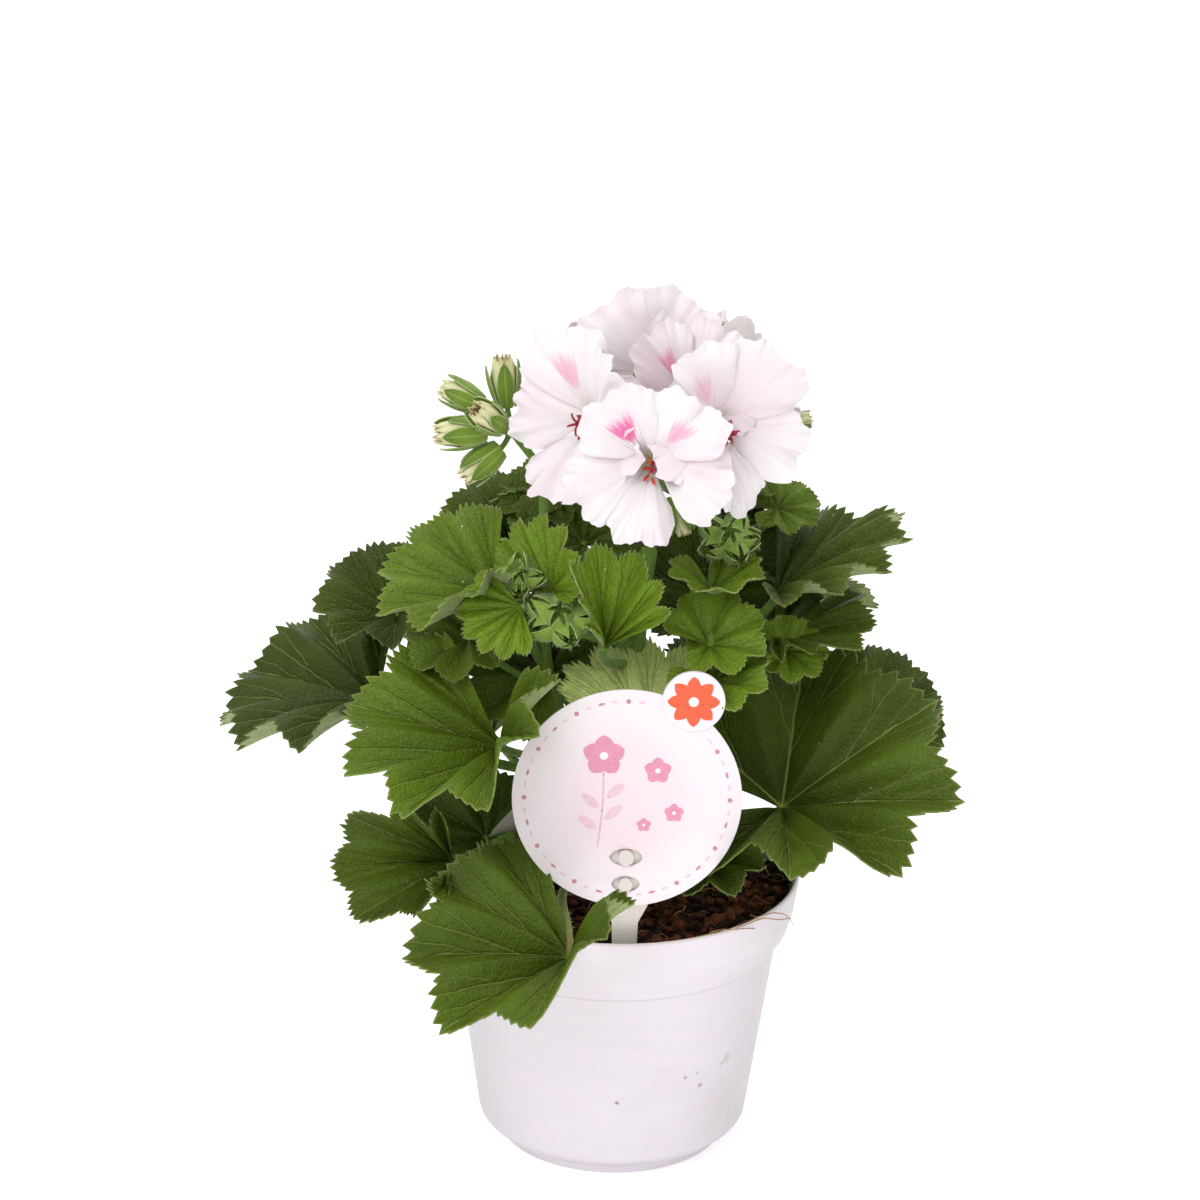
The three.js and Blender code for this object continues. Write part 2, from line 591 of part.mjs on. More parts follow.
// Stake: a clear flat spear behind the card, with two round pegs through the slots
function labelStake(grow) {
  const outline = [
    [-7.5, -14], [7.5, -14], [8.2, -34], [4.2, -42], [3.4, -70], [0, -82],
    [-3.4, -70], [-4.2, -42], [-8.2, -34],
  ];
  const shape = new THREE.Shape();
  outline.forEach(([x, z], k) => {
    const gx = x + Math.sign(x) * grow;
    const gz = z + (z > -20 ? grow : 0) - (z < -80 ? grow : 0);
    if (k === 0) {
      shape.moveTo(gx, gz);
    } else {
      shape.lineTo(gx, gz);
    }
  });
  shape.closePath();
  const thick = STAKE_THICKNESS + 2 * grow;
  const strip = new THREE.ExtrudeGeometry(shape, { depth: thick, bevelEnabled: false });
  strip.rotateX(Math.PI / 2);
  const back = LABEL_THICKNESS / 2 + CLEARANCE + STAKE_THICKNESS / 2;
  strip.translate(0, back + thick / 2, 0);
  const spots = strip.attributes.position;
  for (let k = 0; k < spots.count; k += 1) {
    const below = Math.max(0, STAKE_BEND_START - spots.getZ(k));
    spots.setY(k, spots.getY(k) + STAKE_BEND * below);
  }
  let stake = solidOf(strip);
  for (const k of [0, 1]) {
    const peg = card(PEG_RADII[k] + grow, 3, 16, 0, 0, PEG_OFFSETS[k]);
    stake = stake.add(peg.translate([0, -0.2, 0]));
  }
  return leanedLabel(stake);
}

// Stem: trunk and four shoots in one piece
function branchedStem(grow) {
  let stem = null;
  for (const name of Object.keys(SHOOTS)) {
    const shoot = tube(shootCurve(name), SHOOTS[name].radius, 6, 7, grow);
    stem = stem ? stem.add(shoot) : shoot;
  }
  const knot = new THREE.SphereGeometry(6 + grow, 8, 6);
  knot.translate(0, 3, 104);
  return stem.add(solidOf(knot));
}

// Short stalk from a hub to the foot of a bud
function pedicel(bud, hub, grow) {
  const base = vec(bud.base);
  const along = vec(bud.tip).sub(base).normalize();
  const top = base.clone().addScaledVector(along, -CLEARANCE);
  const curve = new THREE.CubicBezierCurve3(
    hub,
    hub.clone().lerp(base, 0.4),
    top.clone().addScaledVector(along, -3),
    top,
  );
  return tube(curve, 1.0, 5, 3, grow);
}

// Stalk of the open head: one stalk, a pedicel with a calyx behind each flower, and one to each bud
function flowerStalk(grow) {
  const foot = shootCurve('centre').getPoint(0.97);
  const hub = vec(FLOWER_HUB);
  const rise = new THREE.CatmullRomCurve3([foot, new THREE.Vector3(11, 1, 216), hub]);
  let stalk = tube(rise, 2.0, 6, 5, grow);
  const knob = new THREE.SphereGeometry(3 + grow, 8, 6);
  knob.translate(hub.x, hub.y, hub.z);
  stalk = stalk.add(solidOf(knob));
  for (const flower of FLOWERS) {
    const { n } = frameOf({ ...flower, turn: 0 });
    const top = vec(flower.at).addScaledVector(n, -2 - CLEARANCE);
    const root = top.clone().addScaledVector(n, -CALYX_LENGTH);
    const reach = root.distanceTo(hub);
    const curve = new THREE.CubicBezierCurve3(
      hub,
      hub.clone().add(new THREE.Vector3(0, 0, 0.35 * reach)),
      root.clone().addScaledVector(n, -0.35 * reach),
      root.clone().addScaledVector(n, 0.5),
    );
    stalk = stalk.add(tube(curve, 0.9, 5, 3, grow));
    const profile = [[0, -grow], [0.9 + grow, -grow], [1.9 + grow, CALYX_LENGTH * 0.6],
      [1.5 + grow, CALYX_LENGTH + grow], [0, CALYX_LENGTH + grow]];
    stalk = stalk.add(spindle(profile, root, n, 6));
  }
  for (const bud of HEAD_BUDS) {
    stalk = stalk.add(pedicel(bud, hub, grow));
  }
  return stalk;
}

// Stalk of the cream buds
function budStalk(grow) {
  const foot = shootCurve('left').getPoint(0.985);
  const hub = vec(BUD_HUB);
  const middle = new THREE.Vector3(-26, 6, 226);
  let stalk = tube(new THREE.CatmullRomCurve3([foot, middle, hub]), 1.5, 6, 6, grow);
  const knob = new THREE.SphereGeometry(2.6 + grow, 8, 6);
  knob.translate(hub.x, hub.y, hub.z);
  stalk = stalk.add(solidOf(knob));
  for (const bud of CREAM_BUDS) {
    stalk = stalk.add(pedicel(bud, hub, grow));
  }
  return stalk;
}

function creamBud(bud, grow) {
  const base = vec(bud.base);
  const along = vec(bud.tip).sub(base);
  const length = along.length();
  return spindle(budProfile(length + grow, bud.radius + grow), base, along, 8);
}

// Cluster of young green buds on its own short stalk
function greenCluster(cluster, grow) {
  const start = shootCurve(cluster.from[0]).getPoint(cluster.from[1]);
  const centre = vec(cluster.at);
  const mid = start.clone().lerp(centre, 0.5).add(new THREE.Vector3(0, 0, -2));
  let body = tube(new THREE.CatmullRomCurve3([start, mid, centre]), 1.1, 5, 4, grow);
  const knob = new THREE.SphereGeometry(cluster.radius * 0.8 + grow, 8, 6);
  knob.translate(centre.x, centre.y, centre.z);
  body = body.add(solidOf(knob));
  for (let k = 0; k < cluster.count; k += 1) {
    const around = 2 * Math.PI * k / (cluster.count - 1);
    const flat = k === cluster.count - 1 ? 0 : 0.9;
    const along = new THREE.Vector3(
      flat * Math.cos(around),
      -0.55 + 0.45 * flat * Math.sin(around),
      0.45 + 0.6 * flat * Math.sin(around),
    );
    body = body.add(spindle(budProfile(cluster.length + grow, cluster.radius + grow), centre, along, 6));
  }
  return body;
}

function assemble() {
  const part = new THREE.Group();
  part.name = 'potted_regal_geranium';
  const put = (name, solid, material) => {
    const mesh = new THREE.Mesh(geometryOf(solid), MATERIALS[material]);
    mesh.name = name;
    part.add(mesh);
  };

  const pot = growPot();
  const stem = branchedStem(0);
  const stemRoom = branchedStem(CLEARANCE);
  const disc = labelDisc(0);
  const discRoom = labelDisc(CLEARANCE);
  const stake = labelStake(0);
  const stakeRoom = labelStake(CLEARANCE * 1.3);
  put('grow_pot', pot, 'pot');
  put('potting_soil', largest(carve(compost(), [stemRoom, stakeRoom])), 'compost');
  put('label_disc', disc, 'label');
  put('label_stake', stake, 'stake');
  put('branched_stem', stem, 'stem');

  const headStalk = largest(carve(flowerStalk(0), [stemRoom]));
  const headRoom = flowerStalk(CLEARANCE);
  const sideStalk = largest(carve(budStalk(0), [stemRoom, headRoom]));
  const sideRoom = budStalk(CLEARANCE);
  put('flower_stalk', headStalk, 'stem');
  put('bud_stalk', sideStalk, 'stem');

  const buds = [...CREAM_BUDS, ...HEAD_BUDS];
  const budRooms = buds.map((bud) => creamBud(bud, CLEARANCE));
  buds.forEach((bud, k) => {
    const solid = carve(creamBud(bud, 0), [sideRoom, headRoom, ...budRooms.slice(0, k)]);
    put(bud.name, largest(solid), 'cream_bud');
  });

  const corollaRooms = FLOWERS.map((flower) => corolla(flower, CLEARANCE));
  FLOWERS.forEach((flower, k) => {
    const cutters = [headRoom, sideRoom, ...budRooms, ...corollaRooms.slice(0, k)];
    put(flower.name, largest(carve(corolla(flower, 0), cutters)), 'petal');
  });

  const petioleRooms = LEAVES.map((leaf) => petiole(leaf, CLEARANCE));
  const clusterRooms = GREEN_CLUSTERS.map((cluster) => greenCluster(cluster, CLEARANCE).hull());
  GREEN_CLUSTERS.forEach((cluster, k) => {
    const cutters = [stemRoom, headRoom, sideRoom, ...petioleRooms, ...clusterRooms.slice(0, k)];
    put(cluster.name, largest(carve(greenCluster(cluster, 0), cutters)), 'green_bud');
  });

  const fixed = [stemRoom, discRoom, stakeRoom, headRoom, sideRoom, ...budRooms,
    ...corollaRooms, ...clusterRooms];
  const bladeRooms = LEAVES.map((leaf) => blade(leaf, CLEARANCE));
  LEAVES.forEach((leaf, k) => {
    const others = petioleRooms.filter((room, m) => m !== k);
    const trimmed = carve(blade(leaf, 0), [...fixed, pot, ...others, ...bladeRooms.slice(0, k)]);
    const whole = trimmed.add(carve(petiole(leaf, 0), [stemRoom]));
    put(leaf.name, largest(whole), 'leaf');
  });
  return part;
}

export default assemble();
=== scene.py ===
"""Regal geranium in a nursery pot: the visible surfaces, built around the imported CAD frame.

Places and sizes in the tables are millimetres, +Z up, -Y the front, the origin on the pot's
axis at the surface it stands on. Blender's own units stay metres.
"""

import math
import random

import bpy
import numpy as np
from mathutils import Matrix, Vector, noise


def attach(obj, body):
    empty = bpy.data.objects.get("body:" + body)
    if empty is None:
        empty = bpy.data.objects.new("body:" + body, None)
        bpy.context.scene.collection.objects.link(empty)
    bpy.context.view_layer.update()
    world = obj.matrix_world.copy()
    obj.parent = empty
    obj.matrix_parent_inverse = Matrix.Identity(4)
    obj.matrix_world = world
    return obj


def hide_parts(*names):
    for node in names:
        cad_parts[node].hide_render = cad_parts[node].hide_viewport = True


bl_info = {
    "name": "Potted Regal Geranium",
    "version": (1, 0, 0),
    "blender": (4, 5, 0),
    "location": "3D View > Sidebar > Geranium",
    "description": "Pot, compost, label, stems, leaves, flowers and buds of a regal geranium",
    "category": "Add Mesh",
}

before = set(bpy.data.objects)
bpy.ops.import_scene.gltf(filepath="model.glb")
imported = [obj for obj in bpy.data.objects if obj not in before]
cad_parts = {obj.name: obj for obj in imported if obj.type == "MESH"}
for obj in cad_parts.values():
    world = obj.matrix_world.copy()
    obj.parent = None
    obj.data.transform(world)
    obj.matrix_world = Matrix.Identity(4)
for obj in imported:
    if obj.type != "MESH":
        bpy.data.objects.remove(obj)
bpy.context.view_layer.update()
MM = 0.001
# Points closer than this, in metres, are merged
WELD_REACH = 2e-6


def srgb(red, green, blue):
    """A colour given as 0 to 255 display values, as the linear values that Blender keeps."""
    shares = (value / 255 for value in (red, green, blue))
    return tuple(c / 12.92 if c < 0.04045 else ((c + 0.055) / 1.055) ** 2.4 for c in shares)


def darker(colour, share):
    return tuple(share * c for c in colour)


# The plant's layout

# Shoots of the branched stem: points from the base upward, and radius
SHOOTS = {
    "trunk": {"radius": 4.4, "points": [(0, 3, 62), (0, 3, 88), (-1, 3, 114)]},
    "left": {"radius": 2.8, "points": [(-1, 3, 106), (-15, 3, 134), (-24, 2, 165), (-25, 6, 207)]},
    "centre": {"radius": 3.0, "points": [(-1, 3, 108), (2, -5, 138), (5, -5, 170), (9, 0, 204)]},
    "right": {"radius": 2.8, "points": [(0, 3, 98), (15, 4, 128), (26, 3, 160), (31, 3, 200)]},
    "back": {"radius": 2.7, "points": [(0, 3, 100), (2, 17, 130), (1, 27, 162), (3, 27, 196)]},
}

# One row per leaf, angles in degrees. at: where the petiole meets the blade. size: length of
# the middle lobe. face: compass direction of the blade's upper side, 0 front, 90 right, 180
# back. up: tilt of the upper side, 90 looks straight up. turn: direction of the middle lobe,
# 0 downhill. cup: slope of the blade. rise_l, rise_r: extra slope of the two sides. spread:
# from the middle lobe round to each end of the blade. open_l, open_r: extra spread of a side.
# tuck_r, short_r: how much the right side's last lobe drops back, and how much shorter it is,
# as a share. origin: the shoot and the place along it where the petiole starts. via: points
# that the petiole passes. age: 0 old and dark, 1 young and bright; above 1 it adds a painted
# sheen, a paler grey-green that stands in for light glancing off the blade.
LEAVES = [
    {"name": "leaf_front_low", "at": (-14.1, -68, 92), "size": 51.8, "face": 5.5, "up": 68.7,
     "turn": -52.2, "cup": 10.4, "rise_l": 54.3, "rise_r": 12.5, "spread": 115,
     "origin": ("trunk", 0.70), "via": [(-9, -16, 99), (-17, -44, 102.5), (-15, -61, 98.5)],
     "age": 0.34},
    {"name": "leaf_left_middle", "at": (-36.7, -32, 147.7), "size": 52.2, "face": -31.2,
     "up": 51.5, "turn": -3.2, "cup": 38, "rise_l": 17, "rise_r": -9, "spread": 133,
     "origin": ("left", 0.26), "age": 0.48},
    {"name": "leaf_right_large", "at": (53.1, -12, 119.9), "size": 58.9, "face": 7, "up": 52.5,
     "turn": 75, "cup": 32.2, "rise_l": -21.9, "rise_r": 15.2, "spread": 138,
     "origin": ("right", 0.18), "tuck_r": 36, "short_r": 0.34, "open_l": 42, "open_r": 12,
     "age": 0.22},
    {"name": "leaf_left_low", "at": (-51.6, -36, 110.6), "size": 37.6, "face": -3.5, "up": 21.6,
     "turn": -84.4, "cup": 10.2, "rise_l": 60, "rise_r": 52.8, "spread": 97.3,
     "origin": ("left", 0.08), "age": 0.20},
    {"name": "leaf_low_right", "at": (27, -28, 108), "size": 21, "face": 10, "up": 62,
     "turn": 20, "cup": 24, "origin": ("trunk", 0.86), "age": 0.15},
    # Painted sheen: this blade's age above 1 paints it paler, for light glancing off it.
    {"name": "leaf_behind_label", "at": (10.6, -34, 150.4), "size": 39, "face": 13.1, "up": 85.7,
     "turn": 172, "cup": 31.8, "rise_l": -2, "rise_r": 0.5, "spread": 90,
     "origin": ("centre", 0.40), "age": 1.90},
    {"name": "leaf_centre", "at": (-5.3, -30, 181.4), "size": 32.8, "face": 17.3, "up": 35.3,
     "turn": 182.7, "cup": 31, "rise_l": 36, "rise_r": 26.9, "spread": 91.3,
     "origin": ("centre", 0.62), "age": 0.85},
    {"name": "leaf_left_small", "at": (-31, -28, 194), "size": 20, "face": -15, "up": 42,
     "turn": -50, "cup": 12, "spread": 80, "origin": ("left", 0.72), "age": 0.85},
    {"name": "leaf_left_upright", "at": (-21, -20, 196), "size": 25, "face": -50, "up": 20,
     "turn": -170, "cup": 26, "spread": 100, "origin": ("left", 0.84), "age": 0.80},
    {"name": "leaf_left_upper", "at": (-38.6, -8, 189.2), "size": 38.5, "face": -39.6,
     "up": 63.4, "turn": -33.4, "cup": 25.9, "rise_l": 25.4, "rise_r": 1.8, "spread": 122,
     "origin": ("left", 0.62), "age": 0.66},
    {"name": "leaf_far_left", "at": (-78, 12, 144), "size": 50, "face": -75, "up": 75.8,
     "turn": -15.4, "cup": 11.6, "rise_l": 7.7, "rise_r": 13.5, "spread": 110.3,
     "origin": ("left", 0.16), "age": 0.05},
    {"name": "leaf_left_outer", "at": (-71.8, 18, 172.4), "size": 27, "face": -30, "up": 62,
     "turn": -60, "cup": 30, "origin": ("left", 0.46), "via": [(-46, 13, 158)], "age": 0.05},
    {"name": "leaf_left_under", "at": (-48, -12, 177), "size": 20, "face": -25, "up": 60,
     "turn": -80, "cup": 10, "origin": ("left", 0.54), "age": 0.40},
    {"name": "leaf_left_top", "at": (-36, 24, 197), "size": 24, "face": -30, "up": 62,
     "turn": -90, "cup": 28, "origin": ("left", 0.88), "age": 0.12},
    {"name": "leaf_left_crown", "at": (-22, 32, 207), "size": 18, "face": -20, "up": 62,
     "turn": -100, "cup": 20, "origin": ("left", 0.96), "age": 0.25},
    {"name": "leaf_right_cup", "at": (29, -16, 195), "size": 19, "face": 5, "up": 78,
     "turn": 20, "cup": 36, "origin": ("right", 0.84), "age": 0.85},
    {"name": "leaf_right_light", "at": (28, -26, 181), "size": 19, "face": 8, "up": 60,
     "turn": 110, "cup": 24, "origin": ("right", 0.66), "age": 0.75},
    {"name": "leaf_right_fold", "at": (29, -32, 171), "size": 19, "face": 8, "up": 62,
     "turn": 60, "cup": 26, "origin": ("right", 0.56), "age": 0.72},
    {"name": "leaf_right_top", "at": (49.8, 4, 186.8), "size": 46.7, "face": -11.9, "up": 78.3,
     "turn": 95.5, "cup": 34.4, "rise_l": -21.6, "rise_r": -1.4, "spread": 94.5,
     "origin": ("right", 0.74), "age": 0.18},
    {"name": "leaf_right_middle", "at": (50.4, -6, 175.6), "size": 31, "face": -18.2, "up": 46,
     "turn": 108.6, "cup": 8.5, "rise_l": -45, "rise_r": 45.8, "spread": 93.5,
     "origin": ("right", 0.48), "age": 0.15},
    {"name": "leaf_right_tip", "at": (52.8, -14, 174.7), "size": 13, "face": 20, "up": 50,
     "turn": 80, "cup": 14, "origin": ("right", 0.40), "age": 0.75},
    {"name": "leaf_right_outer", "at": (81, 34, 131.5), "size": 27, "face": 22, "up": 52,
     "turn": 100, "cup": 18, "origin": ("right", 0.36), "age": 0.12},
    {"name": "leaf_right_crown", "at": (50, 24, 209), "size": 14, "face": 20, "up": 65,
     "turn": 90, "cup": 12, "origin": ("right", 0.94), "age": 0.60},
    {"name": "leaf_centre_back", "at": (-12, 16, 199), "size": 26, "face": -10, "up": 60,
     "turn": -150, "cup": 16, "origin": ("centre", 0.84), "age": 0.30},
    {"name": "leaf_left_inner", "at": (-42.1, -10, 106.8), "size": 25, "face": -22,
     "up": 50, "turn": -60, "cup": 18, "origin": ("trunk", 0.72), "age": 0.08},
    {"name": "leaf_centre_low", "at": (-22.8, 2, 158.8), "size": 30, "face": -8,
     "up": 46, "turn": -140, "cup": 20, "origin": ("centre", 0.30), "age": 0.15},
    {"name": "leaf_right_inner", "at": (33, 24, 177), "size": 34, "face": 12, "up": 50,
     "turn": 160, "cup": 20, "origin": ("right", 0.52), "age": 0.12},
    {"name": "leaf_back_low_left", "at": (-42, 40, 122), "size": 42, "face": -135, "up": 60,
     "turn": 5, "cup": 24, "origin": ("trunk", 0.90), "via": [(-22, 20, 110)], "age": 0.15},
    {"name": "leaf_back_low", "at": (2, 62, 124), "size": 44, "face": 175, "up": 60, "turn": -8,
     "cup": 22, "origin": ("back", 0.22), "age": 0.25},
    {"name": "leaf_back_low_right", "at": (44, 44, 126), "size": 42, "face": 130, "up": 60,
     "turn": 6, "cup": 24, "origin": ("trunk", 0.84), "via": [(22, 22, 112)], "age": 0.12},
    {"name": "leaf_back_left", "at": (-44, 40, 160), "size": 38, "face": -120, "up": 64,
     "turn": -6, "cup": 26, "origin": ("back", 0.40), "age": 0.35},
    {"name": "leaf_back_middle", "at": (-6, 56, 166), "size": 40, "face": 176, "up": 62,
     "turn": 10, "cup": 24, "origin": ("back", 0.62), "age": 0.45},
    {"name": "leaf_back_right", "at": (46, 40, 168), "size": 38, "face": 140, "up": 64,
     "turn": 0, "cup": 26, "origin": ("back", 0.72), "age": 0.30},
    {"name": "leaf_back_high_left", "at": (-22, 44, 196), "size": 30, "face": -150, "up": 60,
     "turn": 12, "cup": 22, "origin": ("back", 0.86), "age": 0.60},
    {"name": "leaf_back_high_right", "at": (24, 38, 203), "size": 30, "face": 152, "up": 60,
     "turn": -10, "cup": 22, "origin": ("back", 0.96), "age": 0.55},
]

VEINS = 7
PLEAT = 7
MARGIN_DROOP = -12
DEFAULT_SPREAD = 160
LARGE_LEAF = 30
PETIOLE_RADIUS = 1.4
PETIOLE_STEPS = 10
# How far the margin rolls back, as a share of the leaf's size
MARGIN_CURL = 0.014
# Across a blade, 0 at the middle lobe and 1 at its end: where a side starts to rise, over what
# reach it does, and where its last lobe starts
SIDE_START = 0.05
SIDE_REACH = 0.65
LAST_LOBE = 0.60
# Side veins of a lobe: where along the main vein they leave it, and how far out they end,
# as a share of the lobe's width. The last one leaves the first side vein instead.
SIDE_VEINS = ((0.36, 2 / 7), (0.62, 1 / 7))
OUTER_VEIN_START = 0.62
OUTER_VEIN_END = 3 / 7

# One row per open flower. at: the throat. size: length of a petal. face and up: as for a leaf.
# roll: turn about the facing direction. marks: how strong the pink marks of the upper left and
# upper right petal are. fresh: 1 for orange anthers, 0 for crimson ones. tall, wide: length and
# width of the upper petals against the others. bottom: turn of the lowest petal.
FLOWERS = [
    {"name": "flower_front", "at": (8.8, -34, 245.8), "size": 31, "face": 0, "up": 10, "roll": 0,
     "marks": (1.0, 0.5), "fresh": 1, "bottom": -12},
    {"name": "flower_left", "at": (-6.1, -18, 252.8), "size": 31, "face": -36, "up": 16,
     "roll": -14, "marks": (0.5, 0), "fresh": 0, "tall": 1.10},
    {"name": "flower_right", "at": (26.7, -20, 252.7), "size": 32, "face": 24, "up": 14,
     "roll": -5, "marks": (0.35, 0), "fresh": 0},
    {"name": "flower_upper", "at": (18.7, -10, 256.4), "size": 27, "face": 8, "up": 38, "roll": 0,
     "marks": (0.7, 0.5), "fresh": 0},
    {"name": "flower_back_left", "at": (-3, 16, 250), "size": 28, "face": -128, "up": 36,
     "roll": 10, "marks": (0.9, 0.9), "fresh": 1},
    {"name": "flower_top", "at": (8.1, 8, 258.8), "size": 31, "face": -3, "up": 28, "roll": 0,
     "marks": (0, 0), "fresh": 0, "tall": 0.99, "wide": 1.2},
    {"name": "flower_back_right", "at": (29, 19, 246), "size": 28, "face": 126, "up": 34,
     "roll": 0, "marks": (0.8, 0.9), "fresh": 0},
]
FLOWER_HUB = (11, 0, 229)
HEAD_STALK_MIDDLE = (11, 1, 216)
CALYX_LENGTH = 6
# From the throat back to the calyx's foot: the throat's depth, the gap behind it, the calyx
CALYX_DROP = 2 + 0.35 + CALYX_LENGTH
SEPAL_TAPER = 0.75

# The five petals: direction from straight down, half width in degrees, how far the margin
# stands in front of its neighbours, and which of the flower's marks it bears, if any
PETALS = [
    {"angle": 0, "half": 36, "level": -1.4, "mark": None},
    {"angle": 70, "half": 40, "level": -2.0, "mark": None},
    {"angle": -70, "half": 40, "level": -1.7, "mark": None},
    {"angle": 143, "half": 47, "level": 1.2, "mark": 1},
    {"angle": -143, "half": 47, "level": 2.4, "mark": 0},
]
THROAT_SLOPE = 60
PETAL_FLATTEN = -46
# How far a side petal's outer edge goes back, and the usual stretch of an upper petal
PETAL_TUCK = 4.0
UPPER_STRETCH = 1.04

# Cream buds beside the head and on it: where the bud starts, where its tip is, and its radius
BUD_HUB = (-35, -4, 244)
SIDE_STALK_MIDDLE = (-26, 6, 226)
CREAM_BUDS = [
    {"name": "cream_bud_top", "base": (-36.6, -4, 252.5), "tip": (-38, -4, 268), "radius": 4.2},
    {"name": "cream_bud_back", "base": (-44.5, -5, 252.5), "tip": (-57, -2, 257.5),
     "radius": 3.8},
    {"name": "cream_bud_left", "base": (-43, -10, 245.5), "tip": (-58.4, -13, 245.5),
     "radius": 4.4},
    {"name": "cream_bud_front", "base": (-38, -14, 248.5), "tip": (-46, -20, 256.5),
     "radius": 4.0},
    {"name": "cream_bud_low", "base": (-38.5, -10, 240), "tip": (-49.7, -15, 232),
     "radius": 4.0},
]
HEAD_BUDS = [
    {"name": "head_bud_under", "base": (16.5, -12.5, 226), "tip": (19.5, -15, 214.5),
     "radius": 3.2},
    {"name": "head_bud_back", "base": (29, 22, 258), "tip": (34, 26, 270.5), "radius": 3.4},
    {"name": "head_bud_right", "base": (48, 20, 238), "tip": (59.5, 21, 242), "radius": 3.0},
]

# Green bud clusters in the foliage: centre, size of a bud, and the shoot they grow from
GREEN_CLUSTERS = [
    {"name": "green_buds_centre", "at": (-19, -22, 186), "length": 13, "radius": 3.6, "count": 6,
     "origin": ("centre", 0.70)},
    {"name": "green_buds_left", "at": (-32, -16, 198), "length": 9, "radius": 2.4, "count": 5,
     "origin": ("left", 0.92)},
    {"name": "green_buds_right", "at": (34, -6, 208), "length": 11, "radius": 3.2, "count": 6,
     "origin": ("right", 0.90)},
]

# Knot where the shoots leave the trunk: place and radius
KNOT = (0, 3, 104)
KNOT_RADIUS = 6
# Heights between which the stem turns from woody to green
WOODY_TOP = (88, 114)
HAIR_RADIUS = 0.045
# The skin of the thin stalks has finer steps than the branched stem's, by this share
FINE_SKIN = 0.62

# Pot outline from the middle of the foot, up the outside, over the rim and down the inside:
# radius and height
POT_OUTLINE = [
    (36.5, 0), (37.7, 3.2), (40.6, 4.8), (43.2, 7.0), (44, 8.6), (53, 70), (56.5, 75),
    (58.4, 81), (60, 92), (59.5, 93), (58.8, 93), (57.2, 81), (55.3, 75), (51.8, 70), (42.8, 8),
    (39.5, 5.8), (35.5, 1.8),
]
POT_HEIGHT = 93
COLLAR_LINE = 70.1
DRAIN_RADIUS = 4
DRAIN_CIRCLE = 25
DRAIN_COUNT = 6
# Specks and splashes of dried compost on the pot's front: place, reach and strength
POT_MARKS = [
    ((37.0, -31.6, 39.9), 3.4, 0.40), ((35.4, -33.3, 38.9), 1.8, 0.40),
    ((28.3, -38.4, 33.4), 1.4, 0.95), ((23.3, -42.4, 37.9), 1.2, 0.70),
    ((27.3, -39.9, 38.6), 0.9, 0.70), ((1.5, -47.3, 31.0), 1.2, 0.95),
    ((36.0, -29.0, 22.0), 22.0, 0.10), ((-28.0, -40.0, 46.0), 1.0, 0.40),
]

SOIL_OUTLINE = [
    (34.5, 2.2), (38.9, 6.3), (42.4, 8.3), (51.4, 70.3), (54.9, 75.2), (56.8, 81.5),
    (56.8, 84.8), (53, 85.6), (48, 86), (40, 86), (32, 86), (24, 86), (16, 86), (8, 86),
]
SOIL_TOP = 86
# How far from the pot's axis the loose crumbs lie, and the strands start and go
CRUMB_REACH = 55
STRAND_START = 54
STRAND_REACH = 55.5

LABEL_CENTRE = (2.9, -51, 139.3)
LABEL_LEAN = 3
LABEL_THICKNESS = 0.8
LABEL_CLEARANCE = 0.35
PRINT_DEPTH = 0.06
PRINT_RING = 32.2
PRINT_RING_STEPS = 48
BADGE_OFFSET = (20.2, 32.6)
BADGE_RAISED = 0.6
PEG_OFFSETS = (-19.6, -28.6)
PEG_RADII = (2.5, 2.2)
SLOT_HALF_WIDTHS = (5.1, 4.4)
STAKE_THICKNESS = 1.2
STAKE_BEND_START = -42
STAKE_BEND = 0.28
STAKE_OUTLINE = [
    (-7.5, -14), (7.5, -14), (8.2, -34), (4.2, -42), (3.4, -70), (0, -82), (-3.4, -70),
    (-4.2, -42), (-8.2, -34),
]

# What the lights and the camera look at, in metres
LIGHT_AIM = (0, 0, 0.15)
CAMERA_AIM = (-0.0065, 0, 0.186)
# The paper sweep: half its width and depth, one step of its curve, and its wall, in metres
SWEEP_HALF = (3.0, 1.4)
SWEEP_STEP = 0.16
SWEEP_WALL = 2.2


# Settings that a user would change


def length_setting(name, description, default):
    return bpy.props.FloatProperty(
        name=name, description=description, default=default, min=0, precision=5, unit="LENGTH")


def colour_setting(name, description, default):
    return bpy.props.FloatVectorProperty(
        name=name, description=description, default=default, size=3, min=0, max=1,
        subtype="COLOR")


class PotSettings(bpy.types.PropertyGroup):
    segments: bpy.props.IntProperty(
        name="Segments", description="Steps round the pot", default=144, min=24)
    rim_round: length_setting("Rim rounding", "Radius of the pot's moulded edges", 0.0004)
    plastic: colour_setting("Plastic", "Thin lilac-white plastic of the pot", srgb(225, 218, 225))
    stain: colour_setting("Stain", "Dried compost on the pot's side", srgb(126, 112, 98))


class CompostSettings(bpy.types.PropertyGroup):
    crumbs: bpy.props.IntProperty(
        name="Crumbs", description="Loose crumbs on the compost", default=1700, min=0)
    fibres: bpy.props.IntProperty(
        name="Fibres", description="Coir strands lying on the compost", default=90, min=0)
    dark: colour_setting("Moist compost", "Colour between the crumbs", srgb(24, 13, 10))
    light: colour_setting("Dry crumbs", "Colour of the drier crumbs", srgb(112, 62, 42))
    fibre: colour_setting("Coir", "Colour of the strands", srgb(184, 132, 86))


